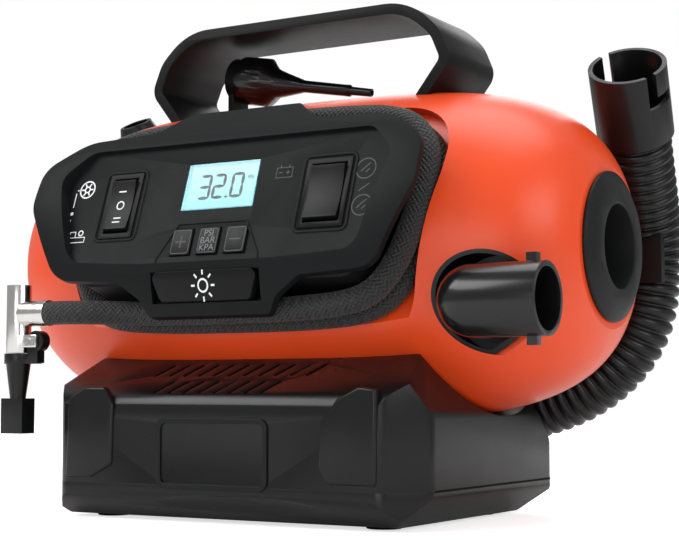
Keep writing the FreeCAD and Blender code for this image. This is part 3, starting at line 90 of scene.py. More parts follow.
def buildMouldedGroup():
    # fine spark-eroded grain, slow tone drift and faint rubbing of a moulded surface
    group, enter, leave = newGroup(
        "mouldedSurface",
        [("Vector", "NodeSocketVector", None), ("Grain", "NodeSocketFloat", 2200.0),
         ("Drift", "NodeSocketFloat", 22.0),
         ("Rough", "NodeSocketFloat", 0.4), ("Spread", "NodeSocketFloat", 0.08)],
        [("Height", "NodeSocketFloat"), ("Roughness", "NodeSocketFloat"), ("Tone", "NodeSocketFloat")])
    grain = noiseNode(group, enter.outputs["Vector"], enter.outputs["Grain"], 3.0, 0.6)
    drift = noiseNode(group, enter.outputs["Vector"], enter.outputs["Drift"], 3.0, 0.55)
    smear = noiseNode(group, enter.outputs["Vector"], 140.0, 4.0, 0.7)
    mixed = mathNode(group, "ADD", mathNode(group, "MULTIPLY", drift, 0.6),
                     mathNode(group, "MULTIPLY", smear, 0.4))
    centred = mathNode(group, "SUBTRACT", mixed, 0.5)
    spread = mathNode(group, "MULTIPLY", centred, mathNode(group, "MULTIPLY", enter.outputs["Spread"], 4.0))
    group.links.new(grain, leave.inputs["Height"])
    group.links.new(mathNode(group, "ADD", spread, enter.outputs["Rough"], True), leave.inputs["Roughness"])
    group.links.new(drift, leave.inputs["Tone"])
    return group


def buildBraidGroup():
    # crossed strands on a tube: the map's x runs round the tube and its y along it
    group, enter, leave = newGroup(
        "braidedSleeve",
        [("Vector", "NodeSocketVector", None), ("Strands", "NodeSocketFloat", 20.0),
         ("Pitch", "NodeSocketFloat", 700.0)],
        [("Height", "NodeSocketFloat"), ("Mask", "NodeSocketFloat")])
    split = group.nodes.new("ShaderNodeSeparateXYZ")
    group.links.new(enter.outputs["Vector"], split.inputs[0])
    around = mathNode(group, "MULTIPLY", split.outputs[0], enter.outputs["Strands"])
    along = mathNode(group, "MULTIPLY", split.outputs[1], enter.outputs["Pitch"])
    leftHand = mathNode(group, "FRACT", mathNode(group, "ADD", along, around))
    rightHand = mathNode(group, "FRACT", mathNode(group, "SUBTRACT", along, around))
    bulges = []
    for share in (leftHand, rightHand):
        bulges.append(mathNode(group, "SINE", mathNode(group, "MULTIPLY", share, math.pi)))
    over = mathNode(group, "FRACT", mathNode(group, "MULTIPLY", along, 0.5))
    swap = mathNode(group, "GREATER_THAN", over, 0.5)
    lower = mathNode(group, "MULTIPLY", bulges[0], mathNode(group, "SUBTRACT", 1.0, swap))
    upper = mathNode(group, "MULTIPLY", bulges[1], swap)
    both = mathNode(group, "MULTIPLY", bulges[0], bulges[1])
    height = mathNode(group, "ADD", mathNode(group, "MULTIPLY", mathNode(group, "ADD", lower, upper), 0.5),
                      mathNode(group, "MULTIPLY", both, 0.5))
    group.links.new(height, leave.inputs["Height"])
    # the mix factor is low in the creases between strands, where painted shade goes
    group.links.new(mathNode(group, "POWER", height, 1.5, True), leave.inputs["Mask"])
    return group


moulded = buildMouldedGroup()
braid = buildBraidGroup()


def makeFinish(name, values):
    # one Principled material whose roughness, tone and bump come from the moulded group
    material = bpy.data.materials.new(name)
    material.use_nodes = True
    tree = material.node_tree
    shader = tree.nodes["Principled BSDF"]
    coords = tree.nodes.new("ShaderNodeTexCoord")
    surface = tree.nodes.new("ShaderNodeGroup")
    surface.node_tree = moulded
    tree.links.new(coords.outputs["Object"], surface.inputs["Vector"])
    surface.inputs["Grain"].default_value = values.get("grain", 2200.0)
    surface.inputs["Rough"].default_value = values["rough"]
    surface.inputs["Spread"].default_value = values.get("spread", 0.06)
    tones = tree.nodes.new("ShaderNodeMix")
    tones.data_type = "RGBA"
    base = values["colour"]
    drift = values.get("drift", 0.12)
    tones.inputs["A"].default_value = [channel * (1 - drift) for channel in base] + [1]
    tones.inputs["B"].default_value = [min(1, channel * (1 + drift)) for channel in base] + [1]
    tree.links.new(surface.outputs["Tone"], tones.inputs["Factor"])
    tree.links.new(tones.outputs["Result"], shader.inputs["Base Color"])
    tree.links.new(surface.outputs["Roughness"], shader.inputs["Roughness"])
    bump = tree.nodes.new("ShaderNodeBump")
    bump.inputs["Strength"].default_value = values.get("bump", 0.2)
    bump.inputs["Distance"].default_value = values.get("depth", 0.0001)
    tree.links.new(surface.outputs["Height"], bump.inputs["Height"])
    tree.links.new(bump.outputs["Normal"], shader.inputs["Normal"])
    shader.inputs["Metallic"].default_value = values.get("metal", 0.0)
    shader.inputs["Coat Weight"].default_value = values.get("coat", 0.0)
    shader.inputs["Coat Roughness"].default_value = values.get("coatRough", 0.2)
    shader.inputs["Specular IOR Level"].default_value = values.get("specular", 0.5)
    if "glow" in values:
        shader.inputs["Emission Color"].default_value = list(values["glow"]) + [1]
        shader.inputs["Emission Strength"].default_value = values["glowStrength"]
    if "clear" in values:
        shader.inputs["Transmission Weight"].default_value = values["clear"]
        shader.inputs["IOR"].default_value = values.get("ior", 1.46)
    return material


finishes = {
    "orangeShell": {"colour": (0.93, 0.078, 0.011), "rough": 0.36, "grain": 1500.0, "bump": 0.06,
                    "drift": 0.05,
                    "coat": 0.12, "coatRough": 0.3},
    "blackMoulded": {"colour": (0.0058, 0.0060, 0.0066), "rough": 0.46, "grain": 1900.0, "bump": 0.32,
                     "specular": 0.20},
    "blackSmooth": {"colour": (0.0045, 0.0048, 0.0054), "rough": 0.3, "grain": 2400.0, "bump": 0.08,
                    "coat": 0.15,
                    "coatRough": 0.25, "specular": 0.30},
    "blackGloss": {"colour": (0.0050, 0.0052, 0.0056), "rough": 0.24, "grain": 900.0, "bump": 0.05,
                   "coat": 0.3,
                   "coatRough": 0.15, "specular": 0.40},
    "panelBlack": {"colour": (0.0062, 0.0068, 0.0075), "rough": 0.52, "grain": 1700.0, "bump": 0.4,
                   "specular": 0.16},
    "darkGrey": {"colour": (0.0120, 0.0125, 0.0135), "rough": 0.45, "bump": 0.25, "specular": 0.20},
    "keyBlack": {"colour": (0.0052, 0.0055, 0.0060), "rough": 0.38, "grain": 2600.0, "bump": 0.15,
                 "specular": 0.20},
    "ductBlack": {"colour": (0.0052, 0.0054, 0.0058), "rough": 0.33, "grain": 1300.0, "bump": 0.1,
                  "coat": 0.1, "specular": 0.32},
    "softRubber": {"colour": (0.0060, 0.0060, 0.0060), "rough": 0.7, "grain": 1200.0, "bump": 0.35,
                   "specular": 0.12},
    "platedMetal": {"colour": (0.78, 0.77, 0.75), "rough": 0.2, "metal": 1.0, "drift": 0.04, "bump": 0.05,
                    "spread": 0.1},
    "plainSteel": {"colour": (0.5, 0.5, 0.51), "rough": 0.36, "metal": 1.0, "bump": 0.1},
    "castAlloy": {"colour": (0.6, 0.6, 0.61), "rough": 0.5, "metal": 1.0, "grain": 900.0, "bump": 0.4},
    "nylon": {"colour": (0.72, 0.69, 0.6), "rough": 0.5, "bump": 0.1},
    "boardGreen": {"colour": (0.008, 0.09, 0.035), "rough": 0.35, "bump": 0.05},
    # near-black: painted shade in the switch wells, and the dark seam on the base's side
    "shadeAndSeamBlack": {"colour": (0.0018, 0.0018, 0.002), "rough": 0.6, "bump": 0.05, "specular": 0.1},
    # white print, with a faint emission added as a painted glow that brightens it
    "printWhitePaintedGlow": {"colour": (0.86, 0.87, 0.88), "rough": 0.55, "bump": 0.05, "glow": (0.9, 0.92, 0.95),
                   "glowStrength": 0.12},
    "printGrey": {"colour": (0.2, 0.2, 0.21), "rough": 0.55, "bump": 0.05},
    "printDim": {"colour": (0.075, 0.075, 0.08), "rough": 0.5, "bump": 0.05},
    # painted glow: the vent backing is no lamp; its emission paints light into the vents
    "ventPaintedGlow": {"colour": (0.75, 0.045, 0.006), "rough": 0.4, "bump": 0.1, "glow": (1.0, 0.08, 0.01),
                 "glowStrength": 1.1},
    "displayGlow": {"colour": (0.3600, 0.7400, 0.7900), "rough": 0.5, "drift": 0.03, "bump": 0.0,
                    "glow": (0.40, 0.80, 0.88),
                    "glowStrength": 0.4},
    "displayInk": {"colour": (0.006, 0.008, 0.012), "rough": 0.5, "bump": 0.0},
    "clearLens": {"colour": (0.97, 0.99, 0.99), "rough": 0.04, "drift": 0.0, "bump": 0.0, "spread": 0.01,
                  "clear": 1.0},
}
materials = {name: makeFinish(name, values) for name, values in finishes.items()}


# The air hose's sleeve: strands round it, repeats along it per metre
# creaseShade is painted shade in the creases between strands; strand is the strands' own colour
braided = {"strands": 14.0, "pitch": 420.0, "creaseShade": (0.0025, 0.0025, 0.0027, 1),
           "strand": (0.016, 0.016, 0.0175, 1),
           "bump": 0.9, "depth": 0.0006, "rough": 0.55, "sheen": 0.15}


def makeBraidFinish(values):
    material = bpy.data.materials.new("braidedSleeving")
    material.use_nodes = True
    tree = material.node_tree
    shader = tree.nodes["Principled BSDF"]
    coords = tree.nodes.new("ShaderNodeTexCoord")
    sleeve = tree.nodes.new("ShaderNodeGroup")
    sleeve.node_tree = braid
    sleeve.inputs["Strands"].default_value = values["strands"]
    sleeve.inputs["Pitch"].default_value = values["pitch"]
    tree.links.new(coords.outputs["UV"], sleeve.inputs["Vector"])
    # painted shade in the creases, the strand colour on the crests
    tones = tree.nodes.new("ShaderNodeMix")
    tones.data_type = "RGBA"
    tones.inputs["A"].default_value = values["creaseShade"]
    tones.inputs["B"].default_value = values["strand"]
    tree.links.new(sleeve.outputs["Mask"], tones.inputs["Factor"])
    tree.links.new(tones.outputs["Result"], shader.inputs["Base Color"])
    bump = tree.nodes.new("ShaderNodeBump")
    bump.inputs["Strength"].default_value = values["bump"]
    bump.inputs["Distance"].default_value = values["depth"]
    tree.links.new(sleeve.outputs["Height"], bump.inputs["Height"])
    tree.links.new(bump.outputs["Normal"], shader.inputs["Normal"])
    shader.inputs["Roughness"].default_value = values["rough"]
    shader.inputs["Sheen Weight"].default_value = values["sheen"]
    return material


materials["braidedSleeving"] = makeBraidFinish(braided)
print("materials made")


# Helpers for making and finishing pieces

def deselectAll():
    if bpy.context.object and bpy.context.object.mode != "OBJECT":
        bpy.ops.object.mode_set(mode="OBJECT")
    bpy.ops.object.select_all(action="DESELECT")


def pick(thing):
    deselectAll()
    thing.select_set(True)
    bpy.context.view_layer.objects.active = thing


def modify(thing, kind, **values):
    pick(thing)
    modifier = thing.modifiers.new(kind.lower(), kind)
    for key, value in values.items():
        setattr(modifier, key, value)
    bpy.ops.object.modifier_apply(modifier=modifier.name)


def applyPlace(thing, place=None):
    pick(thing)
    if place is not None:
        thing.matrix_world = place @ thing.matrix_world
    bpy.ops.object.transform_apply(location=True, rotation=True, scale=True)


def finishPiece(thing, name, material, body, replaced=(), angle=35):
    thing.name = name
    thing.data.name = name
    thing.data.materials.clear()
    thing.data.materials.append(materials[material])
    pick(thing)
    if angle:
        bpy.ops.object.shade_smooth_by_angle(angle=math.radians(angle))
    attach(thing, body)
    if replaced:
        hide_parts(*replaced)
    return thing


# How CAD meshes are merged and flattened before their edges are eased
easing = {"segments": 3, "merge": 0.00002, "flat": 0.4, "smooth": 40}


def refined(node, bevel, limit):
    # a copy of a CAD node's mesh, its corners merged and its sharp edges eased
    source = nodes[node]
    thing = bpy.data.objects.new(node + "Refined", source.data.copy())
    bpy.context.collection.objects.link(thing)
    thing.matrix_world = source.matrix_world.copy()
    pick(thing)
    bpy.ops.object.transform_apply(location=True, rotation=True, scale=True)
    bpy.ops.object.mode_set(mode="EDIT")
    bpy.ops.mesh.select_all(action="SELECT")
    bpy.ops.mesh.remove_doubles(threshold=easing["merge"])
    bpy.ops.mesh.dissolve_limited(angle_limit=math.radians(easing["flat"]))
    bpy.ops.object.mode_set(mode="OBJECT")
    modify(thing, "BEVEL", width=bevel * mm, segments=easing["segments"], limit_method="ANGLE",
           angle_limit=math.radians(limit), harden_normals=False, use_clamp_overlap=True,
           miter_outer="MITER_ARC")
    return thing


nodeBody = {node: body for body,
            members in frame["record"]["behaviour"]["bodies"].items() for node in members}


def paintNode(node, material):
    thing = nodes[node]
    thing.data.materials.clear()
    thing.data.materials.append(materials[material])


# Camera, lights and floor

studio = {
    "lens": 82.8, "eye": (0.417, -0.6767, 0.0608), "turn": (math.pi / 2 + 0.077, 0, 0.539),
    "lights": [
        ("keyLight", (-1.1, -1.2, 1.5), 1.5, 0.9, 20), ("rightLight", (1.7, -0.6, 0.9), 1.1, 0.8, 8),
        ("topLight", (0.1, 0.3, 2.0), 1.6, 1.2, 15), ("backLight", (-0.6, 1.7, 1.1), 1.2, 1.0, 10),
        ("lowFront", (0.5, -1.9, 0.35), 1.2, 0.5, 4),
    ],
    "around": 0.36, "seen": 1.0, "floorGlow": 0.68,
}


def addArea(name, place, width, height, power):
    data = bpy.data.lights.new(name, "AREA")
    data.shape, data.size, data.size_y, data.energy = "RECTANGLE", width, height, power
    lamp = bpy.data.objects.new(name, data)
    bpy.context.collection.objects.link(lamp)
    lamp.location = place
    lamp.rotation_euler = (Vector((0, 0, 0.12)) - Vector(place)).to_track_quat("-Z", "Y").to_euler()


def buildStudio(values):
    eye = bpy.data.cameras.new("viewCamera")
    eye.sensor_width, eye.lens, eye.clip_start = 36.0, values["lens"], 0.01
    camera = bpy.data.objects.new("viewCamera", eye)
    bpy.context.collection.objects.link(camera)
    camera.location, camera.rotation_euler = values["eye"], values["turn"]
    bpy.context.scene.camera = camera
    for light in values["lights"]:
        addArea(*light)
    world = bpy.data.worlds.new("studioWorld")
    world.use_nodes = True
    tree = world.node_tree
    around = tree.nodes["Background"]
    around.inputs["Color"].default_value = (1, 1, 1, 1)
    around.inputs["Strength"].default_value = values["around"]
    seen = tree.nodes.new("ShaderNodeBackground")
    seen.inputs["Color"].default_value = (1, 1, 1, 1)
    seen.inputs["Strength"].default_value = values["seen"]
    path = tree.nodes.new("ShaderNodeLightPath")
    choice = tree.nodes.new("ShaderNodeMixShader")
    tree.links.new(path.outputs["Is Camera Ray"], choice.inputs[0])
    tree.links.new(around.outputs[0], choice.inputs[1])
    tree.links.new(seen.outputs[0], choice.inputs[2])
    tree.links.new(choice.outputs[0], tree.nodes["World Output"].inputs["Surface"])
    bpy.context.scene.world = world
    bpy.context.scene.view_settings.view_transform = "Standard"
    deselectAll()
    bpy.ops.mesh.primitive_circle_add(vertices=96, radius=14.0, fill_type="NGON", location=(0, 0, 0))
    floor = bpy.context.object
    floor.name = "studioFloor"
    paint = bpy.data.materials.new("paleFloor")
    paint.use_nodes = True
    shader = paint.node_tree.nodes["Principled BSDF"]
    shader.inputs["Base Color"].default_value = (0.93, 0.93, 0.93, 1)
    shader.inputs["Roughness"].default_value = 0.65
    shader.inputs["Emission Color"].default_value = (1, 1, 1, 1)
    sight = paint.node_tree.nodes.new("ShaderNodeLightPath")
    glow = mathNode(paint.node_tree, "MULTIPLY", sight.outputs["Is Camera Ray"], values["floorGlow"])
    paint.node_tree.links.new(glow, shader.inputs["Emission Strength"])
    floor.data.materials.append(paint)


buildStudio(studio)
print("studio made")


# Lines and tubes for the hoses

def routeLine(name, points):
    # the smooth line of a route: one open spline read back as a row of points
    data = bpy.data.curves.new(name, "CURVE")
    data.dimensions = "3D"
    data.resolution_u = 24
    spline = data.splines.new("NURBS")
    spline.points.add(len(points) - 1)
    for knot, point in zip(spline.points, points):
        knot.co = (*point, 1)
    spline.order_u = 3
    spline.use_endpoint_u = True
    holder = bpy.data.objects.new(name, data)
    bpy.context.collection.objects.link(holder)
    bpy.context.view_layer.update()
    mesh = bpy.data.meshes.new_from_object(holder)
    line = [vertex.co.copy() for vertex in mesh.vertices]
    bpy.data.objects.remove(holder)
    bpy.data.meshes.remove(mesh)
    return line


def lineLength(line):
    return sum((b - a).length for a, b in zip(line, line[1:]))


def evenLine(line, step):
    # points a fixed distance apart along a line
    total = lineLength(line)
    count = max(2, round(total / step))
    wanted, made, walked, index = total / count, [line[0].copy()], 0.0, 0
    for a, b in zip(line, line[1:]):
        span = (b - a).length
        while span and len(made) * wanted <= walked + span + 1e-9 and len(made) < count:
            made.append(a.lerp(b, (len(made) * wanted - walked) / span))
        walked += span
    made.append(line[-1].copy())
    return made


def sweepTube(name, line, radiusAt, sides):
    # a closed tube round a line, its map running round and along in metres
    shape = bmesh.new()
    layer = shape.loops.layers.uv.new("alongTube")
    rings, side, walked = [], None, 0.0
    for index, point in enumerate(line):
        ahead = (line[min(index + 1, len(line) - 1)] - line[max(index - 1, 0)]).normalized()
        if side is None:
            side = ahead.orthogonal().normalized()
        side = (side - ahead * side.dot(ahead)).normalized()
        across = ahead.cross(side)
        if index:
            walked += (point - line[index - 1]).length
        radius = radiusAt(walked)
        ring = [shape.verts.new(point + (side * math.cos(turn) + across * math.sin(turn)) * radius)
                for turn in (2 * math.pi * step / sides for step in range(sides))]
        rings.append((ring, walked))
    for (ring, low), (after, high) in zip(rings, rings[1:]):
        for step in range(sides):
            following = (step + 1) % sides
            face = shape.faces.new((ring[step], ring[following], after[following], after[step]))
            face.smooth = True
            for loop, spot in zip(face.loops,
                                  ((step, low), (step + 1, low), (step + 1, high), (step, high))):
                loop[layer].uv = (spot[0] / sides, spot[1])
    shape.faces.new(list(reversed(rings[0][0])))
    shape.faces.new(rings[-1][0])
    mesh = bpy.data.meshes.new(name)
    shape.to_mesh(mesh)
    shape.free()
    thing = bpy.data.objects.new(name, mesh)
    bpy.context.collection.objects.link(thing)
    return thing


# The air hose goes twice round the hub behind the panel, the second turn in front of the first.
airHose = {
    "diameter": 0.0114, "step": 0.0022, "sides": 28, "rear": -29.8, "front": -18.0,
    "left": [(-98, 12), (-95.5, 30), (-81, 43.2), (-50, 46.2), (0, 47), (50, 46.2)],
    "right": [(81, 43.2), (95.5, 30), (98, 12), (94, -12), (88, -33), (77, -46), (51, -49.4), (0, -50)],
    "back": [(-51, -49.4), (-77, -46)],
}


def airHoseRoute(values):
    rear, front = values["rear"], values["front"]
    turn = values["left"] + values["right"]
    route = [(-98, 1, rear)] + [(x, y, rear) for x, y in turn + values["back"]]
    route += [(-88, -33, rear + 5.5), (-94, -12, front - 1)] + [(x, y, front) for x, y in turn]
    return [panelPlace @ (Vector(point) * mm) for point in route]


wound = airHoseRoute(airHose)
last = wound[-1]
tail = [(-0.043, last.y + 0.6 * mm, last.z + 0.2 * mm), (-0.059, last.y - 5.5 * mm, 0.0978),
        (-0.074, -0.1023, 0.098), (-0.0894, -0.1023, 0.098)]
airLine = routeLine("airRoute", wound + [Vector(point) for point in tail])
airLine = evenLine(airLine, airHose["step"])
hosePiece = sweepTube("airHoseSleeved", airLine, lambda walked: airHose["diameter"] / 2, airHose["sides"])
finishPiece(hosePiece, "airHoseSleeved", "braidedSleeving", "inflator", ("air_hose",), 0)

# The ribbed hose runs from its cuff down the right side, round the back and up to its nozzle.
duct = {
    "diameter": 0.0344, "pitch": 0.0056, "groove": 0.0030, "samples": 8, "sides": 56,
    "half": [(145.2, 87.2, 134), (143, 87.2, 112), (139, 86, 93), (129, 85, 77), (110, 84, 62),
             (84, 83, 52.5),
             (50, 82.5, 47)],
    "first": (151, 52.5, 186.6), "toCuff": (0.12, -0.6, 0.77), "straight": 33, "middle": (0, 82, 45.5),
    "last": [(-148, 75, 158), (-151, 62, 184)],
}


def ductRadius(walked):
    # broad round crests with narrow grooves between them
    swing = abs(math.cos(math.pi * walked / duct["pitch"]))
    return duct["diameter"] / 2 - duct["groove"] * (1 - swing ** 0.55)


ductSecond = Vector(duct["first"]) - Vector(duct["toCuff"]).normalized() * duct["straight"]
ductRoute = [duct["first"], tuple(ductSecond)] + duct["half"] + [duct["middle"]]
ductRoute += [(-x, y, z) for x, y, z in reversed(duct["half"])] + duct["last"]
ductLine = routeLine("ductRoute", [Vector(point) * mm for point in ductRoute])
ductFine = evenLine(ductLine, duct["pitch"] / duct["samples"])
ductPiece = sweepTube("ribbedHose", ductFine, ductRadius, duct["sides"])
finishPiece(ductPiece, "ribbedHose", "ductBlack", "inflator", ("blow_hose",), 0)
print("hoses made", round(lineLength(airLine), 4), round(lineLength(ductFine), 4))


# Marks and lines on the panel

def ringPath(x, y, radius, count=28, start=0.0, sweep=360.0):
    stops = count if sweep >= 360 else count + 1
    return [(x + radius * math.cos(math.radians(start + sweep * step / count)),
             y + radius * math.sin(math.radians(start + sweep * step / count))) for step in range(stops)]


def strokeMark(name, paths, width, level, material, body, closed=(), flat=0.35):
    # thin raised lines drawn in the panel's frame; level gives the surface's height at (x, y)
    data = bpy.data.curves.new(name, "CURVE")
    data.dimensions = "3D"
    data.bevel_depth = width * mm / 2
    data.bevel_resolution = 1
    data.use_fill_caps = True
    for number, path in enumerate(paths):
        spline = data.splines.new("POLY")
        spline.points.add(len(path) - 1)
        for knot, (x, y) in zip(spline.points, path):
            knot.co = (x * mm, y * mm, 0, 1)
        spline.use_cyclic_u = number in closed
    thing = bpy.data.objects.new(name, data)
    bpy.context.collection.objects.link(thing)
    pick(thing)
    bpy.ops.object.convert(target="MESH")
    thing = bpy.context.object
    for vertex in thing.data.vertices:
        x, y, z = vertex.co
        vertex.co.z = level(x / mm, y / mm) * mm + z * flat
    applyPlace(thing, panelPlace)
    return finishPiece(thing, name, material, body)


def textMark(name, words, size, x, y, level, material, body, spacing=1.0):
    deselectAll()
    bpy.ops.object.text_add(location=(0, 0, 0))
    thing = bpy.context.object
    thing.data.body = words
    thing.data.size = size * mm
    thing.data.extrude = 0.12 * mm
    thing.data.space_line = spacing
    thing.data.align_x, thing.data.align_y = "CENTER", "CENTER"
    bpy.ops.object.convert(target="MESH")
    thing = bpy.context.object
    thing.location = (x * mm, y * mm, level * mm)
    applyPlace(thing)
    applyPlace(thing, panelPlace)
    return finishPiece(thing, name, material, body, (), 0)


def floorLevel(x, y):
    return 1.0


def keyLevel(x, y):
    return 2.0


def lightLevel(x, y):
    return -87.0 + math.sqrt(96.0 ** 2 - y ** 2)


def rockerLevel(middle):
    return lambda x, y: 62.0 - math.sqrt(60.0 ** 2 - (y - middle) ** 2)


# sun on the light key
sun = {"x": 0, "y": -43.4, "core": 2.6, "near": 4.5, "far": 6.5, "rays": 8}
rays = []
for step in range(sun["rays"]):
    turn = 2 * math.pi * step / sun["rays"]
    rays.append([(sun["x"] + reach * math.cos(turn), sun["y"] + reach * math.sin(turn))
                 for reach in (sun["near"], sun["far"])])
strokeMark("sunMark", [ringPath(sun["x"], sun["y"], sun["core"])] + rays, 0.85, lightLevel, "printWhitePaintedGlow",
           "light_key",
           (0,))

# plus and minus on the outer keys, three unit names on the middle one
strokeMark("plusMark", [[(-18.2, -22.5), (-12.2, -22.5)], [(-15.2, -25.5), (-15.2, -19.5)], ], 0.75,
           keyLevel,
           "printDim", "plus_key")
strokeMark("minusMark", [[(12.2, -22.5), (18.2, -22.5)]], 0.75, keyLevel, "printDim", "minus_key")
textMark("unitNames", "PSI\nBAR\nKPA", 4.6, 0, -22.5, 2.02, "printGrey", "units_key", 0.78)

# off and on marks of the two rockers
modeMiddle = -1.2
strokeMark("modeMarks", [[(-58.7, 5.9), (-54.3, 5.9)], ringPath(-56.5, -1.2, 2.0),
                         [(-58.7, -8.0), (-54.3, -8.0)], [(-58.7, -10.2), (-54.3, -10.2)]],
           0.7, rockerLevel(modeMiddle), "printWhitePaintedGlow", "mode_rocker_body", (1,))

# battery, plugs, tyre, mattress and the dotted choice line beside the switches
strokeMark("batteryMark",
           [[(30.2, 7.2), (38.8, 7.2), (38.8, 12.2), (30.2, 12.2)], [(32.2, 12.2), (32.2, 13.6)],
                           [(36.8, 12.2), (36.8, 13.6)], [(31.6, 9.7), (33.6, 9.7)],
                           [(35.4, 9.7), (37.4, 9.7)],
                           [(36.4, 8.7), (36.4, 10.7)]], 0.55, floorLevel, "printDim", "inflator",
                           (0,))
plugMarks, plugClosed = [], []
for x, y in ((77.5, 8.4), (78.4, -9.4)):
    plugClosed += [len(plugMarks)]
    plugMarks += [ringPath(x, y, 4.9), [(x - 2.4, y - 1.4), (x + 0.4, y + 1.4)],
                  [(x + 0.2, y - 1.9), (x + 1.9, y - 0.2)],
                  [(x + 0.4, y + 1.4), (x + 2.1, y + 2.6)]]
plugMarks.append([(75.6, -2.4), (80.4, 0.9)])
strokeMark("plugMarks", plugMarks, 0.6, floorLevel, "printDim", "inflator",
           tuple(plugClosed))
tyre = [ringPath(-80.5, 9.3, 4.4), ringPath(-80.5, 9.3, 1.5)]
for step in range(6):
    turn = math.pi * step / 3
    tyre.append([(-80.5 + reach * math.cos(turn), 9.3 + reach * math.sin(turn)) for reach in (1.5, 3.6)])
strokeMark("tyreMark", tyre, 0.8, floorLevel, "printWhitePaintedGlow", "inflator", (0, 1))
strokeMark("mattressMark", [[(-84.8, -19.0), (-75.2, -19.0), (-75.2, -16.4), (-84.8, -16.4)],
                            [(-84.8, -16.4), (-84.8, -13.4), (-81.4, -13.4), (-81.4, -16.4)],
                            ringPath(-78.2, -14.2, 1.3)], 0.65, floorLevel, "printWhitePaintedGlow", "inflator",
           (0, 1, 2))
strokeMark("choiceLine",
           [[(-86.6, 9.2), (-85.6, 9.2)], [(-87.0, 7.6), (-87.0, 0.0)], [(-87.0, -6.5), (-87.0, -14.2)],
                          [(-86.6, -16.0), (-85.6, -16.0)]], 0.6, floorLevel, "printWhitePaintedGlow", "inflator")
strokeMark("choiceDot", [ringPath(-87.0, -3.3, 0.5)], 0.9, floorLevel, "printWhitePaintedGlow", "inflator",
           (0,))


# Painted shade round the two switches as dark rings in their wells, and raised borders round the wells and the
# keys
def roundedOutline(x, y, across, up, corner, count=5):
    # corners of a rectangle with rounded corners, centred on (x, y)
    points = []
    for quarter, (sideways, upward) in enumerate(((1, 1), (-1, 1), (-1, -1), (1, -1))):
        for step in range(count + 1):
            turn = math.pi / 2 * (quarter + step / count)
            points.append((x + sideways * (across - corner) + corner * math.cos(turn),
                           y + upward * (up - corner) + corner * math.sin(turn)))
    return points


wells = {"mode": (-56.5, -1.2, 12.2, 18.0), "source": (58.6, -2.0, 13.6, 18.6)}
for name, (x, y, across, up) in wells.items():
    outline = roundedOutline(x, y, across, up, 3.0)
    strokeMark(name + "WellLip", [outline], 1.7, floorLevel, "panelBlack", "inflator",
               (0,), 0.8)
    # two dark rings inside each well: painted shade in the recess round the switch
    for inward in (1.5, 2.6):
        ring = roundedOutline(x, y, across - inward, up - inward, 2.0)
        strokeMark(name + "Well%d" % (inward * 10), [ring], 1.5, floorLevel, "shadeAndSeamBlack", "inflator",
                   (0,), 0.15)
keyFence = [(-28.5, -34.5), (-28.5, -30.0), (-19.0, -13.0), (19.0, -13.0), (28.5, -30.0), (28.5, -34.5)]
strokeMark("keyFence", [keyFence], 1.4, floorLevel, "panelBlack", "inflator", (), 0.9)
for name, body, x in (("plusRim", "plus_key", -15.2), ("unitsRim", "units_key", 0),
                      ("minusRim", "minus_key", 15.2)):
    strokeMark(name, [roundedOutline(x, -22.5, 4.9, 5.8, 1.2)], 0.5, keyLevel, "printDim", body,
               (0,))


# The dark gap between the base and its tray on the right side
sideGap = {"across": 103.35, "thick": 0.5, "width": 0.9, "front": (-71.5, 17.0), "back": (53.0, 17.0)}


def sideLine(name, start, end):
    # a thin dark gap on the base's right side between two points given as back and up
    deselectAll()
    (backOne, upOne), (backTwo, upTwo) = start, end
    reach = math.hypot(backTwo - backOne, upTwo - upOne)
    bpy.ops.mesh.primitive_cube_add(size=1, location=(0, 0, 0))
    line = bpy.context.object
    line.scale = (sideGap["thick"] * mm, reach * mm, sideGap["width"] * mm)
    line.rotation_euler = (math.atan2(upTwo - upOne, backTwo - backOne), 0, 0)
    line.location = (sideGap["across"] * mm, (backOne + backTwo) / 2 * mm, (upOne + upTwo) / 2 * mm)
    applyPlace(line)
    return finishPiece(line, name, "shadeAndSeamBlack", "inflator", (), 0)


sideLine("sideSeam", sideGap["front"], sideGap["back"])


def frontPlate(name, outline, back, front, ease):
    # a flat plate on the base's front face, its outline given as across and up
    deselectAll()
    bpy.ops.mesh.primitive_circle_add(vertices=len(outline), radius=0.01, fill_type="NGON")
    plate = bpy.context.object
    for vertex, (across, up) in zip(plate.data.vertices, outline):
        vertex.co = (across * mm, back * mm, up * mm)
    bpy.ops.object.mode_set(mode="EDIT")
    bpy.ops.mesh.select_all(action="SELECT")
    bpy.ops.mesh.extrude_region_move(TRANSFORM_OT_translate={"value": (0, (front - back) * mm, 0)})
    bpy.ops.mesh.select_all(action="SELECT")
    bpy.ops.mesh.normals_make_consistent(inside=False)
    bpy.ops.object.mode_set(mode="OBJECT")
    modify(plate, "BEVEL", width=ease * mm, segments=4, limit_method="ANGLE", angle_limit=math.radians(25))
    return finishPiece(plate, name, "blackSmooth", "inflator", (), 40)


# Raised cheeks on the base's front, one each side of the badge
cheeks = {
    "leftCheek": [(-83.5, 57.0), (-73, 62.5), (-61.3, 62.5), (-56.3, 53.9), (-57.1, 26), (-70, 19.5),
                  (-85.2, 19.5)],
    "rightCheek": [(87, 61.5), (86.4, 20), (62.5, 20), (57.5, 27), (59.0, 47.1), (67.0, 57.0), (78, 62.5)],
}
cheekPlate = {"back": -90.5, "front": -94.9, "ease": 1.3}
for name, outline in cheeks.items():
    frontPlate(name, outline, cheekPlate["back"], cheekPlate["front"], cheekPlate["ease"])

# Figures of the display

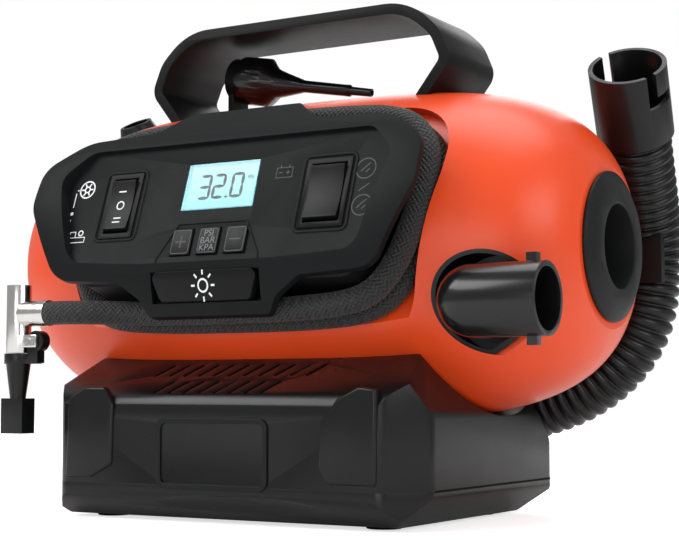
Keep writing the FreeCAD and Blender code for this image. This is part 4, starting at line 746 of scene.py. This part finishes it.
display = {"digit": (5.6, 11.4), "bar": 1.85, "low": 0.4, "first": -12.6, "pitch": 8.0, "level": -1.4,
           "shown": "320", "dot": 2, "lift": 0.25,
           "inset": 0.9, "dotGap": 2.2, "dotBack": 0.1, "dotHalf": 0.35, "dotWidth": 1.3}
lit = {"0": "abcdef", "1": "bc", "2": "abged", "3": "abgcd", "4": "fgbc", "5": "afgcd", "6": "afgedc",
       "7": "abc",
       "8": "abcdefg", "9": "abcfgd"}


def addBar(x1, y1, x2, y2, width):
    # one display bar with pointed ends, made from a grid's outline
    deselectAll()
    along = Vector((x2 - x1, y2 - y1, 0))
    bpy.ops.mesh.primitive_circle_add(vertices=6, radius=width / 2 * mm, fill_type="NGON",
                                      location=(0, 0, 0))
    bar = bpy.context.object
    for vertex in bar.data.vertices:
        if abs(vertex.co.x) > width * 0.05 * mm:
            vertex.co.x += math.copysign(along.length / 2 * mm, vertex.co.x)
    bpy.ops.object.mode_set(mode="EDIT")
    bpy.ops.mesh.select_all(action="SELECT")
    bpy.ops.mesh.extrude_region_move(TRANSFORM_OT_translate={"value": (0, 0, display["lift"] * mm)})
    bpy.ops.object.mode_set(mode="OBJECT")
    bar.rotation_euler = (0, 0, math.atan2(along.y, along.x))
    bar.location = ((x1 + x2) / 2 * mm, (y1 + y2) / 2 * mm, display["level"] * mm)
    applyPlace(bar)
    return bar


def joinAll(things):
    deselectAll()
    for thing in things:
        thing.select_set(True)
    bpy.context.view_layer.objects.active = things[0]
    bpy.ops.object.join()
    return bpy.context.object


def buildDigits(values):
    wide, tall = values["digit"]
    low, half, inset = values["low"], tall / 2, values["inset"]
    bars = []
    for number, figure in enumerate(values["shown"]):
        x = values["first"] + number * values["pitch"] + (values["dotGap"] if number >= values["dot"] else 0)
        ends = {"a": (x + inset, low + tall, x + wide - inset, low + tall),
                "d": (x + inset, low, x + wide - inset, low),
                "g": (x + inset, low + half, x + wide - inset, low + half),
                "f": (x, low + half + inset, x, low + tall - inset),
                "e": (x, low + inset, x, low + half - inset),
                "b": (x + wide, low + half + inset, x + wide, low + tall - inset),
                "c": (x + wide, low + inset, x + wide, low + half - inset)}
        for bar in lit[figure]:
            bars.append(addBar(*ends[bar], values["bar"]))
    dotX = values["first"] + values["dot"] * values["pitch"] - values["dotBack"]
    bars.append(addBar(dotX - values["dotHalf"], low, dotX + values["dotHalf"], low, values["dotWidth"]))
    figures = joinAll(bars)
    applyPlace(figures, panelPlace)
    return finishPiece(figures, "displayFigures", "displayInk", "inflator", (), 0)


buildDigits(display)
textMark("displayUnit", "PSI", 3.0, 15.4, 9.6, display["level"], "displayInk", "inflator")
print("panel marks made")


# Finishes of the parts kept from the frame

kept = {
    "orangeShell": ["front_shell", "rear_shell"],
    "blackMoulded": ["handle", "hose_hub", "hose_clips", "hose_rest", "power_inlet", "mode_rocker_frame",
                     "source_rocker_frame", "adapter_post"],
    "blackSmooth": ["base_housing", "base_tray", "outlet_cup", "chuck_lever"],
    "panelBlack": ["control_panel"],
    "darkGrey": ["port_ring", "end_grille", "blower_mount", "badge_frame"],
    "blackGloss": ["outlet_elbow", "cone_adapter"],
    "ductBlack": ["blow_nozzle", "bayonet_cuff"],
    "keyBlack": ["mode_rocker", "source_rocker", "plus_button", "units_button", "minus_button",
                 "light_button"],
    "softRubber": ["rubber_feet", "hose_gland", "chuck_seal"],
    "platedMetal": ["chuck_body", "hose_ferrule", "chuck_pin", "inlet_pins"],
    "plainSteel": ["handle_screws", "mode_rocker_pin", "source_rocker_pin", "compressor_motor",
                   "blower_motor",
                   "gearbox_plate"],
    "castAlloy": ["wobble_piston", "compressor_cylinder", "cylinder_head"],
    "nylon": ["drive_pinion", "crank_gear", "blower_impeller"],
    "boardGreen": ["circuit_board", "pressure_sensor"],
    # the vent backing gets the painted glow
    "ventPaintedGlow": ["vent_backing"],
    "displayGlow": ["lcd_module"],
    "clearLens": ["lcd_lens"],
}
for material, members in kept.items():
    for node in members:
        paintNode(node, material)
print("finishes given")

# Parts with moulded, eased edges: how wide the easing is in mm, and from what angle an edge counts.
eased = {
    "base_housing": (1.6, 30), "handle": (1.6, 40), "port_ring": (0.8, 35),
    "outlet_cup": (0.5, 40), "hose_clips": (0.7, 40), "hose_rest": (0.7, 40), "chuck_body": (0.35, 40),
    "hose_ferrule": (0.4, 40), "chuck_lever": (0.5, 40), "mode_rocker": (0.5, 35),
    "source_rocker": (0.5, 35),
    "plus_button": (0.5, 35), "units_button": (0.5, 35), "minus_button": (0.5, 35),
    "light_button": (0.5, 35),
    "mode_rocker_frame": (0.4, 40), "source_rocker_frame": (0.4, 40), "control_panel": (0.7, 40),
    "bayonet_cuff": (0.4, 40), "blow_nozzle": (0.4, 40), "cone_adapter": (0.3, 40),
    "adapter_post": (0.4, 40),
    "outlet_elbow": (0.4, 40), "badge_frame": (0.4, 40), "rubber_feet": (0.4, 40), "power_inlet": (0.5, 40),
}
nodeMaterial = {node: material for material, members in kept.items() for node in members}
for node, (width, limit) in eased.items():
    finishPiece(refined(node, width, limit), node + "Eased", nodeMaterial[node], nodeBody[node],
                (node,), 40)
print("edges eased")

# The tray's front is scooped out along its bottom.
scoop = {"centre": (11, -98, 3.5), "reach": (73, 11, 11), "ease": 1.2, "limit": 30}
deselectAll()
bpy.ops.mesh.primitive_uv_sphere_add(segments=64, ring_count=32, radius=mm, location=(0, 0, 0))
scooper = bpy.context.object
scooper.scale = scoop["reach"]
scooper.location = Vector(scoop["centre"]) * mm
applyPlace(scooper)
trayPiece = refined("base_tray", scoop["ease"], scoop["limit"])
modify(trayPiece, "BOOLEAN", operation="DIFFERENCE", object=scooper, solver="EXACT")
bpy.data.objects.remove(scooper)
finishPiece(trayPiece, "base_trayEased", nodeMaterial["base_tray"], nodeBody["base_tray"],
            ("base_tray",), 40)
print("tray scooped")
